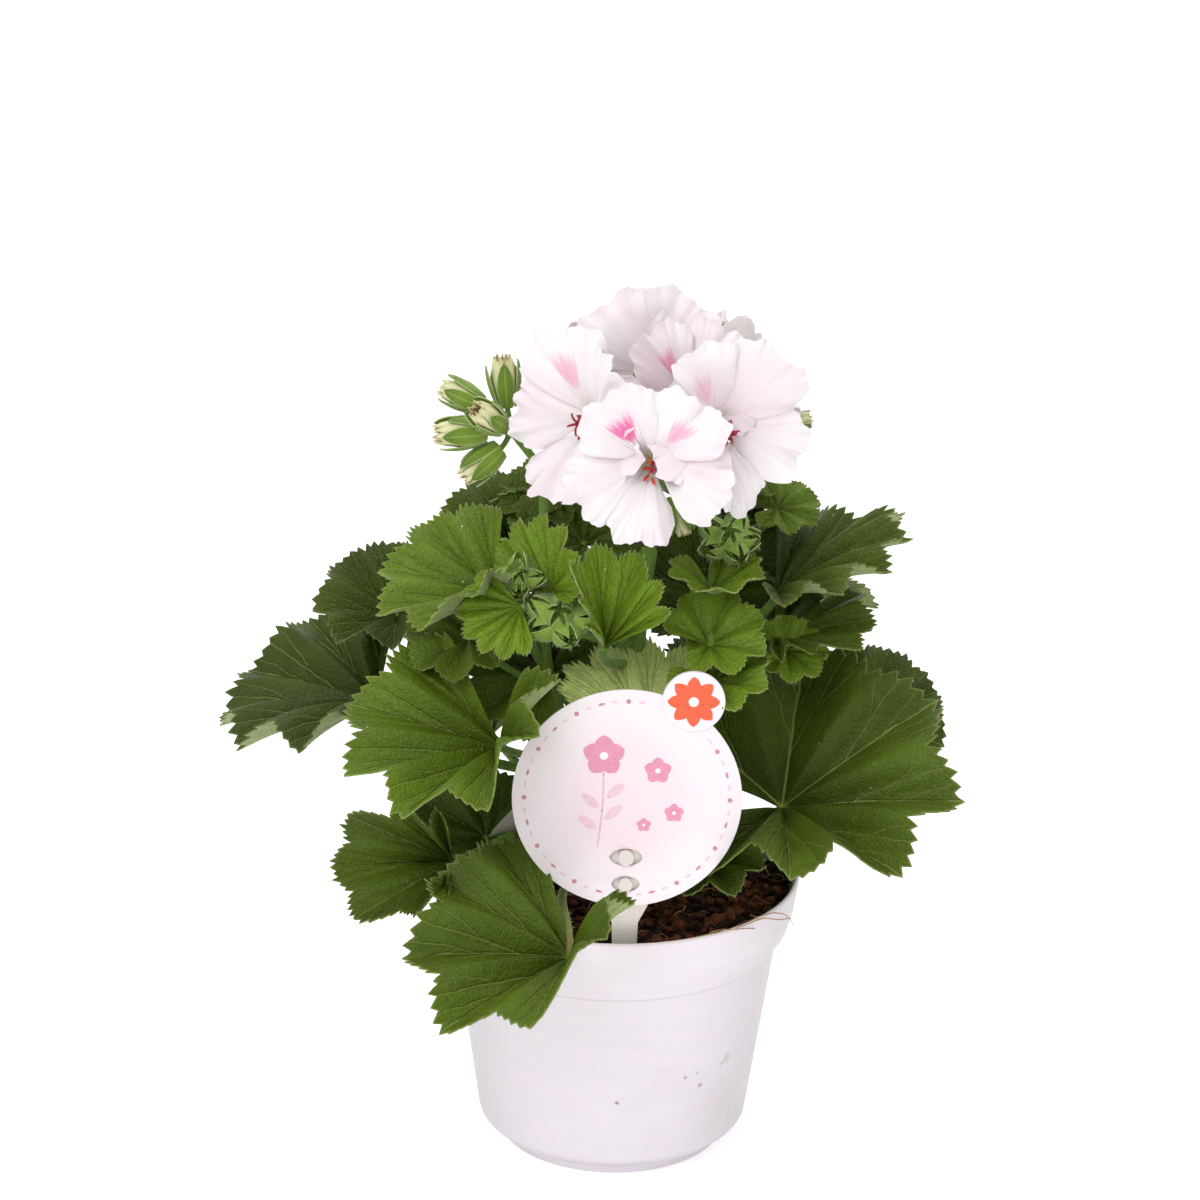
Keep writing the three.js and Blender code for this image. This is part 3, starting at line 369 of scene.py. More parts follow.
class LabelSettings(bpy.types.PropertyGroup):
    radius: length_setting("Label radius", "Radius of the round card", 0.036)
    badge_radius: length_setting("Badge radius", "Radius of the badge on the card's edge", 0.0098)
    card: colour_setting("Card", "Outer part of the card", srgb(236, 226, 230))
    blush: colour_setting("Blush", "Tint of the card's middle", srgb(236, 214, 222))
    print_pink: colour_setting("Pink print", "Flowers and sprig on the card", srgb(214, 142, 166))
    print_rose: colour_setting("Rose print", "Ring of dots and dashes", srgb(190, 128, 148))
    coral: colour_setting("Coral", "Flower on the badge", srgb(220, 92, 58))
    clear: colour_setting("Clear plastic", "Stake behind the card", srgb(220, 213, 207))


class StemSettings(bpy.types.PropertyGroup):
    skin_step: length_setting("Skin step", "Step of the skin that fuses the shoots", 0.0007)
    hair_length: length_setting("Hair length", "Fine hairs on stems, stalks and buds", 0.0011)
    green: colour_setting("Green shoot", "Young shoots and stalks", srgb(112, 146, 58))
    woody: colour_setting("Woody base", "Old part of the stem", srgb(118, 92, 60))


class LeafSettings(bpy.types.PropertyGroup):
    thickness: length_setting("Thickness", "Thickness of a blade", 0.00050)
    quilting: length_setting("Quilting", "How far a blade puffs up between its veins", 0.00075)
    tooth: bpy.props.FloatProperty(
        name="Tooth", description="Height of a margin tooth, as a share of the blade",
        default=0.055, min=0, subtype="FACTOR")
    mature: colour_setting("Mature leaf", "Upper side of an old leaf", srgb(54, 69, 8))
    young: colour_setting("Young leaf", "Upper side of a young leaf", srgb(116, 146, 30))
    underside: colour_setting("Underside", "Pale lower side", srgb(158, 172, 118))
    vein: colour_setting("Veins", "Veins and margin", srgb(152, 166, 92))


class FlowerSettings(bpy.types.PropertyGroup):
    thickness: length_setting("Petal thickness", "Thickness of a petal", 0.0003)
    ruffle: length_setting("Ruffle", "Depth of the waves along a petal's margin", 0.0019)
    white: colour_setting("Petal", "White with a breath of pink", srgb(234, 228, 229))
    blush: colour_setting("Blush", "Pink tinge across the petals", srgb(230, 214, 221))
    blotch: colour_setting("Blotch", "Feathered mark on the two upper petals", srgb(226, 104, 164))
    line: colour_setting("Lines", "Fine lines below the mark", srgb(158, 46, 104))
    throat: colour_setting("Throat", "Greenish yellow throat", srgb(206, 208, 156))
    anther: colour_setting("Anthers", "Orange-red anthers", srgb(216, 70, 30))
    style: colour_setting("Style", "Crimson style", srgb(166, 24, 46))


class BudSettings(bpy.types.PropertyGroup):
    cream: colour_setting("Bud petals", "Rolled petals of a bud", srgb(220, 218, 178))
    sepal: colour_setting("Sepals", "Green sepals of a bud", srgb(120, 148, 48))
    sepal_tip: colour_setting("Sepal tips", "Darker tips and backs", srgb(92, 120, 34))


class StageSettings(bpy.types.PropertyGroup):
    floor: colour_setting("Floor", "Pale floor and backdrop", srgb(246, 246, 246))
    key_power: bpy.props.FloatProperty(
        name="Key light", description="Power of the large soft light", default=10.5, min=0,
        unit="POWER")
    fill_power: bpy.props.FloatProperty(
        name="Fill light", description="Power of the side light", default=1.8, min=0,
        unit="POWER")
    top_power: bpy.props.FloatProperty(
        name="Top light", description="Power of the light overhead", default=7, min=0,
        unit="POWER")
    glow: bpy.props.FloatProperty(
        name="Glow", description="Own light of the floor and backdrop", default=0.35, min=0)
    air: bpy.props.FloatProperty(
        name="Air", description="Light that comes from all around", default=0.62, min=0)
    distance: length_setting("Camera distance", "From the camera to the plant", 1.5)
    elevation: bpy.props.FloatProperty(
        name="Camera elevation", description="How far the camera looks down",
        default=math.radians(21), subtype="ANGLE")
    roll: bpy.props.FloatProperty(
        name="Camera roll", description="Turn of the camera about its own axis",
        default=math.radians(0.9), subtype="ANGLE")
    lens: bpy.props.FloatProperty(
        name="Focal length", description="Focal length of the camera", default=141,
        unit="CAMERA")


# Shader building


class Shader:
    """A node material with one Principled surface, and short calls for the nodes used here."""

    def __init__(self, name, **sockets):
        self.material = bpy.data.materials.new(name)
        self.material.use_nodes = True
        self.tree = self.material.node_tree
        self.surface = self.tree.nodes["Principled BSDF"]
        for label, value in sockets.items():
            self.surface.inputs[label.replace("_", " ")].default_value = value

    def node(self, kind, inputs=None, **options):
        made = self.tree.nodes.new("ShaderNode" + kind)
        for label, value in options.items():
            setattr(made, label, value)
        for socket, value in (inputs or {}).items():
            if isinstance(value, bpy.types.NodeSocket):
                self.tree.links.new(value, made.inputs[socket])
            else:
                made.inputs[socket].default_value = value
        return made

    def math(self, operation, *values, clamp=False):
        return self.node("Math", dict(enumerate(values)), operation=operation,
                         use_clamp=clamp).outputs[0]

    def times(self, first, second):
        return self.math("MULTIPLY", first, second)

    def plus(self, first, second, clamp=False):
        return self.math("ADD", first, second, clamp=clamp)

    def scaled(self, value, factor, offset, clamp=False):
        return self.math("MULTIPLY_ADD", value, factor, offset, clamp=clamp)

    def fade(self, value, start, end, low=0.0, high=1.0):
        inputs = {0: value, 1: start, 2: end, 3: low, 4: high}
        return self.node("MapRange", inputs, interpolation_type="SMOOTHSTEP").outputs[0]

    def mix(self, share, first, second):
        first, second = (c if isinstance(c, bpy.types.NodeSocket) else (*c, 1)
                         for c in (first, second))
        return self.node("Mix", {0: share, 6: first, 7: second}, data_type="RGBA").outputs[2]

    def noise(self, point, scale, detail=2.0, roughness=0.5):
        inputs = {"Vector": point, "Scale": scale, "Detail": detail, "Roughness": roughness}
        return self.node("TexNoise", inputs).outputs[0]

    def cells(self, point, scale, feature="DISTANCE_TO_EDGE"):
        made = self.node("TexVoronoi", {"Vector": point, "Scale": scale}, feature=feature)
        return made.outputs["Distance"]

    def place(self):
        return self.node("TexCoord").outputs["Object"]

    def parts(self, vector):
        return self.node("SeparateXYZ", {0: vector}).outputs

    def across_along(self):
        """The piece's own map: across, 0 to 1, and along from the foot, 0 to 1."""
        made = self.node("UVMap", uv_map="UVMap").outputs[0]
        return self.parts(made)[:2]

    def vector(self, x, y):
        return self.node("CombineXYZ", {0: x, 1: y}).outputs[0]

    def stretched(self, place, height_scale):
        """The place with its height scaled, for a pattern that runs along or across a piece."""
        return self.node("Mapping", {"Vector": place, "Scale": (1, 1, height_scale)}).outputs[0]

    def attribute(self, name):
        return self.node("Attribute", attribute_name=name).outputs["Fac"]

    def bump(self, height, strength, distance):
        inputs = {"Height": height, "Strength": strength, "Distance": distance}
        return self.node("Bump", inputs).outputs[0]

    def finish(self, colour, roughness, normal=None):
        links = {"Base Color": colour, "Roughness": roughness}
        if normal is not None:
            links["Normal"] = normal
        for label, value in links.items():
            self.tree.links.new(value, self.surface.inputs[label])
        return self.material


def vein_lines(sh):
    """Strength of the main veins, and of the side veins, on a blade's own map."""
    across, along = sh.across_along()
    wander = sh.scaled(sh.noise(sh.place(), 110.0, 2.0), 0.07, -0.035)
    lobes = sh.plus(sh.scaled(across, -VEINS, VEINS / 2), wander)
    lobe = sh.math("SUBTRACT", lobes, sh.math("ROUND", lobes))
    off = sh.math("ABSOLUTE", lobe)
    side = sh.math("SIGN", lobe)

    def line(centre, width):
        gap = sh.math("ABSOLUTE", sh.math("SUBTRACT", off, centre))
        return sh.fade(sh.times(gap, along), 0.2 * width, width, 1.0, 0.0)

    def branch(start, end, base=0.0):
        start = sh.scaled(side, 0.05, start)
        climb = sh.math("DIVIDE", sh.math("SUBTRACT", along, start),
                        sh.times(along, sh.math("SUBTRACT", 1.0, start)))
        return sh.scaled(climb, end - base, base)

    main = line(0.0, 0.019)
    first = branch(*SIDE_VEINS[0])
    fine = sh.math("MAXIMUM", line(first, 0.011), line(branch(*SIDE_VEINS[1]), 0.009))
    base = SIDE_VEINS[0][1] * (OUTER_VEIN_START - SIDE_VEINS[0][0]) / (
        OUTER_VEIN_START * (1 - SIDE_VEINS[0][0]))
    outer = line(branch(OUTER_VEIN_START, OUTER_VEIN_END, base), 0.009)
    outer = sh.times(outer, sh.math("GREATER_THAN", along, OUTER_VEIN_START))
    return main, sh.math("MAXIMUM", fine, outer), along


def leaf_upper(leaf):
    """Olive green with sunken pale veins, painted shade that darkens the middle, a painted sheen on
    blades past age 1, and a few pale specks.
    """
    sh = Shader("leaf_upper", Specular_IOR_Level=0.24)
    place = sh.place()
    age = sh.attribute("age")
    main, fine, along = vein_lines(sh)
    cloud = sh.noise(place, 38.0, 3.0)
    mottle = sh.noise(place, 420.0, 3.0, 0.6)
    tone = sh.plus(age, sh.scaled(cloud, 0.7, -0.35), clamp=True)
    colour = sh.mix(tone, leaf.mature, leaf.young)
    # Painted sheen: an age above 1 mixes in a pale grey-green for light glancing off the blade.
    colour = sh.mix(sh.math("SUBTRACT", age, 1.0, clamp=True), colour, srgb(196, 212, 128))
    colour = sh.mix(sh.fade(mottle, 0.35, 0.75, 0.0, 0.22), colour, darker(leaf.mature, 0.6))
    # Painted shade: darker towards the petiole, where the cupped middle of the blade lies in shade.
    colour = sh.mix(sh.fade(along, 0.05, 0.7, 0.40, 0.0), colour, darker(leaf.mature, 0.55))
    net = sh.fade(sh.cells(place, 520.0), 0.02, 0.16, 1.0, 0.0)
    reach = sh.fade(along, 0.05, 1.0, 0.80, 0.40)
    colour = sh.mix(sh.times(main, reach), colour, leaf.vein)
    colour = sh.mix(sh.times(fine, 0.27), colour, leaf.vein)
    colour = sh.mix(sh.fade(along, 0.0, 0.07, 0.85, 0.0), colour, srgb(150, 164, 52))
    edge = sh.times(sh.fade(along, 0.982, 0.996), sh.scaled(age, 0.50, 0.16, clamp=True))
    colour = sh.mix(edge, colour, leaf.vein)
    drops = sh.fade(sh.cells(place, 120.0, "F1"), 0.022, 0.034, 0.85, 0.0)
    colour = sh.mix(drops, colour, srgb(232, 234, 226))
    relief = sh.plus(sh.times(main, -1.0), sh.times(fine, -0.7))
    relief = sh.plus(relief, sh.times(net, -0.30))
    relief = sh.plus(relief, sh.times(sh.noise(place, 260.0, 3.0), 0.7))
    relief = sh.plus(relief, sh.times(sh.noise(place, 900.0, 2.0), 0.30))
    roughness = sh.fade(sh.noise(place, 60.0), 0.3, 0.7, 0.42, 0.58)
    return sh.finish(colour, roughness, sh.bump(relief, 0.8, 0.0006))


def leaf_under(leaf):
    sh = Shader("leaf_under", Specular_IOR_Level=0.2, Sheen_Weight=0.15, Sheen_Roughness=0.4)
    place = sh.place()
    main, fine, along = vein_lines(sh)
    colour = sh.mix(sh.noise(place, 70.0, 3.0), darker(leaf.underside, 0.72), leaf.underside)
    colour = sh.mix(sh.times(sh.attribute("age"), 0.35), colour, leaf.young)
    veins = sh.math("MAXIMUM", main, sh.times(fine, 0.7))
    colour = sh.mix(sh.times(veins, 0.65), colour, srgb(188, 202, 146))
    net = sh.fade(sh.cells(place, 520.0), 0.02, 0.16, 1.0, 0.0)
    relief = sh.plus(veins, sh.times(net, 0.25))
    relief = sh.plus(relief, sh.times(sh.noise(place, 1500.0), 0.3))
    roughness = sh.fade(along, 0.0, 1.0, 0.72, 0.82)
    return sh.finish(colour, roughness, sh.bump(relief, 0.7, 0.0005))


def stem_skin(stem):
    """Green skin, woody towards the compost, with fine lengthwise streaks."""
    sh = Shader("stem_skin", Specular_IOR_Level=0.3, Sheen_Weight=0.25, Sheen_Roughness=0.4)
    place = sh.place()
    height = sh.parts(place)[2]
    streaks = sh.noise(sh.stretched(place, 0.12), 900.0, 3.0)
    age = sh.plus(sh.fade(height, *(z * MM for z in WOODY_TOP), 1.0, 0.0),
                  sh.scaled(sh.noise(place, 160.0), 0.7, -0.35), clamp=True)
    colour = sh.mix(age, stem.green, stem.woody)
    colour = sh.mix(sh.fade(streaks, 0.35, 0.7, 0.0, 0.4), colour, darker(stem.green, 0.55))
    relief = sh.plus(streaks, sh.times(sh.noise(place, 1400.0), 0.6))
    roughness = sh.fade(streaks, 0.3, 0.7, 0.55, 0.75)
    return sh.finish(colour, roughness, sh.bump(relief, 0.6, 0.0004))


def hair_coat():
    sh = Shader("hair_coat", Specular_IOR_Level=0.3)
    colour = sh.mix(sh.noise(sh.place(), 300.0), srgb(206, 216, 176), srgb(238, 242, 224))
    return sh.finish(colour, sh.fade(sh.noise(sh.place(), 500.0), 0.3, 0.7, 0.5, 0.7))


def petal_skin(flower):
    """White with a pink tinge and a greenish throat and, where marked, a feathered blotch."""
    sh = Shader("petal_skin", Specular_IOR_Level=0.22, Sheen_Weight=0.15, Sheen_Roughness=0.5,
                Subsurface_Weight=0.25, Subsurface_Scale=0.0012,
                Subsurface_Radius=(0.8, 0.75, 0.75))
    place = sh.place()
    across, along = sh.across_along()
    off = sh.scaled(across, -2.0, 1.0)
    fine = sh.noise(sh.vector(sh.times(across, 60.0), along), 1.0, 3.0, 0.6)
    broad = sh.noise(sh.vector(sh.times(across, 16.0), along), 1.0, 2.0)
    tint = sh.fade(sh.noise(place, 45.0, 2.0), 0.38, 0.68, 0.0, 0.75)
    colour = sh.mix(tint, flower.white, flower.blush)
    colour = sh.mix(sh.fade(fine, 0.42, 0.72, 0.0, 0.16), colour, srgb(206, 197, 202))
    colour = sh.mix(sh.fade(along, 0.04, 0.30, 0.85, 0.0), colour, flower.throat)

    marked = sh.attribute("marked")
    ragged = sh.scaled(fine, 0.42, -0.21)
    reach = sh.plus(along, ragged)
    window = sh.times(sh.fade(reach, 0.37, 0.46), sh.fade(reach, 0.63, 0.77, 1.0, 0.0))
    width = sh.fade(along, 0.25, 0.62, 0.10, 0.34)
    side = sh.math("ABSOLUTE", sh.plus(off, sh.scaled(broad, 0.3, -0.15)))
    core = sh.fade(sh.math("DIVIDE", side, width), 0.70, 1.10, 1.0, 0.0)
    mark = sh.times(sh.times(window, core), marked)
    stripe = sh.math("ABSOLUTE", sh.math("SINE", sh.times(off, 22.0)))
    lines = sh.times(sh.fade(stripe, 0.10, 0.34, 1.0, 0.0),
                     sh.times(sh.fade(reach, 0.16, 0.24), sh.fade(reach, 0.40, 0.56, 1.0, 0.0)))
    lines = sh.times(lines, sh.fade(sh.math("ABSOLUTE", off), 0.42, 0.62, 1.0, 0.0))
    colour = sh.mix(sh.times(sh.times(lines, marked), 0.90), colour, flower.line)
    colour = sh.mix(sh.times(mark, 0.92), colour, flower.blotch)
    relief = sh.plus(fine, sh.times(sh.noise(place, 700.0), 0.25))
    roughness = sh.fade(fine, 0.3, 0.7, 0.5, 0.66)
    return sh.finish(colour, roughness, sh.bump(relief, 0.28, 0.0004))


def spotted(name, first, second, scale, rough=(0.45, 0.65), relief=0.4, **sockets):
    """Two close tones in soft spots, with a fine grain."""
    sh = Shader(name, **sockets)
    place = sh.place()
    colour = sh.mix(sh.fade(sh.noise(place, scale, 3.0), 0.3, 0.7), first, second)
    grain = sh.noise(place, scale * 3, 3.0, 0.6)
    return sh.finish(colour, sh.fade(grain, 0.3, 0.7, *rough), sh.bump(grain, relief, 0.0003))


def sepal_skin(name, green, tip):
    sh = Shader(name, Specular_IOR_Level=0.3, Sheen_Weight=0.2, Sheen_Roughness=0.4)
    across, along = sh.across_along()
    off = sh.math("ABSOLUTE", sh.scaled(across, 2.0, -1.0))
    ribs = sh.math("ABSOLUTE", sh.math("SINE", sh.times(across, 16.0)))
    colour = sh.mix(sh.fade(along, 0.35, 1.0), green, tip)
    colour = sh.mix(sh.times(sh.noise(sh.place(), 260.0, 3.0), 0.35), colour, darker(tip, 0.6))
    colour = sh.mix(sh.fade(off, 0.78, 1.0, 0.0, 0.6), colour, srgb(186, 204, 134))
    colour = sh.mix(sh.fade(off, 0.0, 0.16, 0.4, 0.0), colour, srgb(166, 190, 96))
    relief = sh.plus(ribs, sh.noise(sh.place(), 900.0, 2.0))
    roughness = sh.fade(along, 0.0, 1.0, 0.5, 0.62)
    return sh.finish(colour, roughness, sh.bump(relief, 0.5, 0.0003))


def bud_skin(bud):
    sh = Shader("bud_skin", Specular_IOR_Level=0.3, Subsurface_Weight=0.1, Subsurface_Scale=0.001)
    across, along = sh.across_along()
    folds = sh.noise(sh.vector(sh.times(across, 22.0), along), 1.0, 3.0)
    colour = sh.mix(sh.fade(folds, 0.35, 0.7), bud.cream, srgb(206, 206, 146))
    colour = sh.mix(sh.fade(along, 0.1, 0.55, 0.6, 0.0), colour, srgb(170, 184, 96))
    colour = sh.mix(sh.fade(along, 0.93, 1.0, 0.0, 0.35), colour, srgb(168, 132, 96))
    return sh.finish(colour, sh.fade(folds, 0.3, 0.7, 0.5, 0.62), sh.bump(folds, 0.5, 0.0005))


def pot_plastic(pot):
    """Thin moulded plastic: faint flow lines, scuffs, dried splashes low on the right, a painted
    shade line at the collar step and painted shade where the surface is seen aslant.
    """
    sh = Shader("pot_plastic", Specular_IOR_Level=0.42, Subsurface_Weight=0.08,
                Subsurface_Scale=0.002)
    place = sh.place()
    flow = sh.noise(sh.stretched(place, 8), 30.0)
    colour = sh.mix(sh.fade(flow, 0.35, 0.65, 0.0, 0.12), pot.plastic, srgb(208, 201, 212))
    height = sh.parts(place)[2]
    dust = sh.fade(sh.noise(place, 260.0, 4.0, 0.7), 0.68, 0.78, 0.0, 0.16)
    smear = sh.fade(sh.noise(place, 26.0, 3.0), 0.55, 0.75, 0.0, 0.06)
    colour = sh.mix(sh.plus(dust, smear), colour, pot.stain)
    ragged = sh.noise(place, 700.0, 3.0, 0.6)
    for spot, reach, strength in POT_MARKS:
        gap = sh.node("VectorMath", {0: place, 1: tuple(c * MM for c in spot)},
                      operation="DISTANCE").outputs["Value"]
        gap = sh.scaled(ragged, reach * MM, gap)
        colour = sh.mix(sh.fade(gap, 0.5 * reach * MM, 1.4 * reach * MM, strength, 0.0), colour,
                        pot.stain)
    # Painted shade: a thin dark line, in the stain colour, along the step at the foot of the
    # collar.
    step = sh.math("ABSOLUTE", sh.math("SUBTRACT", height, COLLAR_LINE * MM))
    colour = sh.mix(sh.fade(step, 0.0001, 0.0006, 0.22, 0.0), colour, pot.stain)
    rim = sh.fade(height, (POT_HEIGHT - 0.8) * MM, POT_HEIGHT * MM, 0.0, 0.30)
    colour = sh.mix(rim, colour, srgb(176, 158, 112))
    colour = sh.mix(sh.fade(height, 0.0, 0.010, 0.03, 0.0), colour, pot.stain)
    # Painted shade: the plastic darkens towards its outline, where the surface is seen aslant.
    painted_edge_shade = sh.node("LayerWeight", {"Blend": 0.5}).outputs["Facing"]
    colour = sh.mix(sh.fade(painted_edge_shade, 0.25, 0.90, 0.0, 0.50), colour, srgb(168, 162, 168))
    scuffs = sh.noise(sh.stretched(place, 0.2), 700.0, 3.0)
    roughness = sh.fade(scuffs, 0.3, 0.7, 0.34, 0.50)
    return sh.finish(colour, roughness, sh.bump(scuffs, 0.10, 0.0002))


def compost_skin(compost, name="compost_skin", dry=0.35):
    sh = Shader(name, Specular_IOR_Level=0.15)
    place = sh.place()
    lumps = sh.noise(place, 190.0, 4.0, 0.70)
    bits = sh.cells(place, 420.0, "F1")
    colour = sh.mix(sh.fade(lumps, 0.80 - dry, 1.04 - dry), compost.dark, compost.light)
    colour = sh.mix(sh.fade(sh.noise(place, 700.0, 3.0), 0.5, 0.75, 0.0, 0.45), colour,
                    darker(compost.dark, 0.4))
    relief = sh.plus(lumps, sh.times(bits, 0.6))
    roughness = sh.fade(lumps, 0.3, 0.7, 0.75, 0.95)
    return sh.finish(colour, roughness, sh.bump(relief, 0.9, 0.0012))


def card_face(label):
    """Printed card: a blush middle that fades into a pale border, under a satin film."""
    sh = Shader("card_face", Specular_IOR_Level=0.4, Coat_Weight=0.12, Coat_Roughness=0.25)
    place = sh.place()
    centre = sh.node("VectorMath", {0: place, 1: tuple(c * MM for c in LABEL_CENTRE)},
                     operation="SUBTRACT").outputs[0]
    reach = sh.node("VectorMath", {0: centre}, operation="LENGTH").outputs["Value"]
    cloud = sh.scaled(sh.noise(place, 40.0, 2.0), 0.012, -0.006)
    soft = sh.fade(sh.plus(reach, cloud), 0.012, 0.031, 0.8, 0.0)
    colour = sh.mix(soft, label.card, label.blush)
    fibre = sh.noise(place, 1800.0, 3.0)
    colour = sh.mix(sh.fade(fibre, 0.4, 0.8, 0.0, 0.08), colour, srgb(226, 210, 220))
    return sh.finish(colour, sh.fade(fibre, 0.3, 0.7, 0.36, 0.46), sh.bump(fibre, 0.05, 0.0001))


def ink(name, colour):
    return spotted(name, colour, tuple(min(1.0, 1.12 * c) for c in colour), 900.0,
                   rough=(0.35, 0.45), relief=0.05, Specular_IOR_Level=0.4)


def clear_plastic(label):
    sh = Shader("clear_plastic", Specular_IOR_Level=0.45, Transmission_Weight=0.06, IOR=1.3,
                Subsurface_Weight=0.2, Subsurface_Scale=0.002)
    place = sh.place()
    haze = sh.noise(place, 180.0, 3.0)
    colour = sh.mix(haze, label.clear, srgb(226, 220, 214))
    return sh.finish(colour, sh.fade(haze, 0.3, 0.7, 0.22, 0.40), sh.bump(haze, 0.1, 0.0003))


# Shapes, in millimetres


def unit(vector):
    return vector / np.linalg.norm(vector)


def ramp(x):
    c = np.clip(x, 0, 1)
    return c * c * (3 - 2 * c)


def spoke(x, y, turn):
    """The direction at an angle from x towards y."""
    return x * math.cos(turn) + y * math.sin(turn)


def points_along(curve, ends, steps):
    return [curve(ends, k / steps) for k in range(steps + 1)]


def curve_point(points, t):
    """Point at t, 0 to 1, of the centripetal Catmull-Rom curve through the points."""
    points = [np.array(p, float) for p in points]
    last = len(points) - 1
    k = min(int(t * last), last - 1)
    w = t * last - k
    p1, p2 = points[k], points[k + 1]
    p0 = points[k - 1] if k > 0 else 2 * points[0] - points[1]
    p3 = points[k + 2] if k + 2 <= last else 2 * points[last] - points[last - 1]
    g0, g1, g2 = (np.linalg.norm(b - a) ** 0.5 for a, b in ((p0, p1), (p1, p2), (p2, p3)))
    t1 = ((p1 - p0) / g0 - (p2 - p0) / (g0 + g1) + (p2 - p1) / g1) * g1
    t2 = ((p2 - p1) / g1 - (p3 - p1) / (g1 + g2) + (p3 - p2) / g2) * g1
    return (p1 + t1 * w + (-3 * p1 + 3 * p2 - 2 * t1 - t2) * w**2
            + (2 * p1 - 2 * p2 + t1 + t2) * w**3)


def bezier_point(ends, t):
    a, b, c, d = (np.array(p, float) for p in ends)
    return (1 - t)**3 * a + 3 * (1 - t)**2 * t * b + 3 * (1 - t) * t**2 * c + t**3 * d


def shoot_point(name, t):
    return curve_point(SHOOTS[name]["points"], t)


def facing(face, up, turn):
    """Axes of a blade or flower: x to the middle lobe, y to its left, n out of the upper side."""
    f, u, t = (math.radians(a) for a in (face, up, turn))
    n = np.array([math.sin(f) * math.cos(u), -math.cos(f) * math.cos(u), math.sin(u)])
    down = np.array([math.sin(f) * math.sin(u), -math.cos(f) * math.sin(u), -math.cos(u)])
    x = down * math.cos(t) + np.cross(n, down) * math.sin(t)
    return x, np.cross(n, x), n


def turned_about(direction):
    """Two directions square to the given one, and the direction itself."""
    z = unit(np.array(direction, float))
    x = unit(np.cross(z, (0.31, 0.17, 0.93) if abs(z[2]) < 0.9 else (1.0, 0.0, 0.2)))
    return x, np.cross(z, x), z


def axis_of(base, tip):
    """Two directions square to the line from base to tip, its own direction and its length."""
    line = np.array(tip, float) - np.array(base, float)
    return (*turned_about(line), np.linalg.norm(line))


def about_axis(base, axes, away, angle, height):
    """Points at a distance and an angle about an axis, and at a height along it."""
    x, y, z = axes
    return (np.array(base) + np.outer(away * np.cos(angle), x)
            + np.outer(away * np.sin(angle), y) + np.outer(height, z))


def fanned(row, turn, out, rise, lift, tilt, angle):
    """World points of a blade or petal, fanned out by angle and raised square to its slope."""
    out = out - lift * np.sin(tilt)
    local = np.stack([out * np.cos(angle), out * np.sin(angle), rise + lift * np.cos(tilt)], -1)
    return np.array(row["at"]) + local @ np.array(facing(row["face"], row["up"], turn))


def lobe_length(s, depth):
    base = 1 - 0.20 * np.abs(s) ** 2.2
    return base * (1 - depth + depth * np.abs(np.cos(0.5 * np.pi * VEINS * s)) ** 0.7)


def vein_gap(s, v):
    """Distance from the nearest main or side vein, as a share of a lobe's width."""
    lobe = s * VEINS / 2
    lobe = lobe - np.round(lobe)
    off, side, v = np.abs(lobe), -np.sign(lobe), np.maximum(v, 1e-3)
    gap = off * v
    for start, end in SIDE_VEINS:
        start = start + 0.05 * side
        gap = np.minimum(gap, np.abs(off - end * (v - start) / (v * (1 - start))) * v)
    return gap


def tooth_height(s, off, look):
    """Saw teeth that lean towards each lobe's tip, where the middle one stands."""
    count = look["teeth"] + 2 / 3
    place = 2 * off * count
    number = np.floor(place + 1 / 3).astype(int)
    share = place + 1 / 3 - number
    height = np.where(share < 1 / 3, 3 * share, 1.5 * (1 - share))
    height = np.where(place < 2 / 3, 1 - 1.5 * place, height)
    lobe = np.round(s * VEINS / 2).astype(int) + VEINS
    sizes = look["tooth_sizes"]
    pick = 17 * lobe + 5 * number + 3 * (s * VEINS / 2 > lobe - VEINS)
    return np.clip(height, 0, 1) * sizes[pick % len(sizes)]


def leaf_points(leaf, s, v, look, quilting=0.0, tooth=0.0):
    """World points of a blade. s is across, -1 to 1, and v along from the petiole, 0 to 1."""
    size, droop = leaf["size"], math.radians(MARGIN_DROOP)
    spread = math.radians(leaf.get("spread", DEFAULT_SPREAD))
    lobe = s * VEINS / 2
    off = np.abs(lobe - np.round(lobe))
    fold = 0.4 * np.cos(2 * np.pi * off) + 0.6 * (1 - 4 * off)
    slope = np.radians(
        leaf["cup"] - MARGIN_DROOP / 2 - look["pleat"] * fold
        + leaf.get("rise_l", 0) * ramp((s - SIDE_START) / SIDE_REACH)
        + leaf.get("rise_r", 0) * ramp((-s - SIDE_START) / SIDE_REACH)
        - leaf.get("tuck_r", 0) * ramp((-s - LAST_LOBE) / 0.3))
    height = tooth_height(s, off, look)
    length = size * lobe_length(s, 0.09 + 0.05 * leaf["age"])
    length = length * (1 - leaf.get("short_r", 0) * ramp((-s - LAST_LOBE) / 0.4))
    reach = length * v + size * tooth * height * ramp((v - 0.84) / 0.16)
    out = reach / (droop * np.maximum(v, 1e-4)) * (np.sin(slope + droop * v) - np.sin(slope))
    rise = reach / (droop * np.maximum(v, 1e-4)) * (np.cos(slope) - np.cos(slope + droop * v))
    tilt = slope + droop * v
    angle = s * spread + math.radians(leaf.get("open_l", 0)) * np.maximum(s, 0) ** 2
    angle = angle - math.radians(leaf.get("open_r", 0)) * np.maximum(-s, 0) ** 2
    p1, p2, p3, p4 = look["phases"]
    wave = 0.016 * size * v**2 * (np.sin(9.4 * s + p1) + 0.6 * np.sin(19.5 * s + p2))
    frill = 0.012 * size * v**6 * np.sin(41.0 * s + p3)
    curl = -look["curl"] * ramp((v - 0.72) / 0.28) ** 2 * (0.7 + 0.5 * np.sin(5.3 * s + p4))
    puff = quilting * (1 - np.exp(-(vein_gap(s, v) / 0.040) ** 2)) * ramp(v / 0.25) * (1 - v**9)
    lift = wave + frill + curl + puff * size / 45
    return fanned(leaf, leaf["turn"], out, rise, lift, tilt, angle)


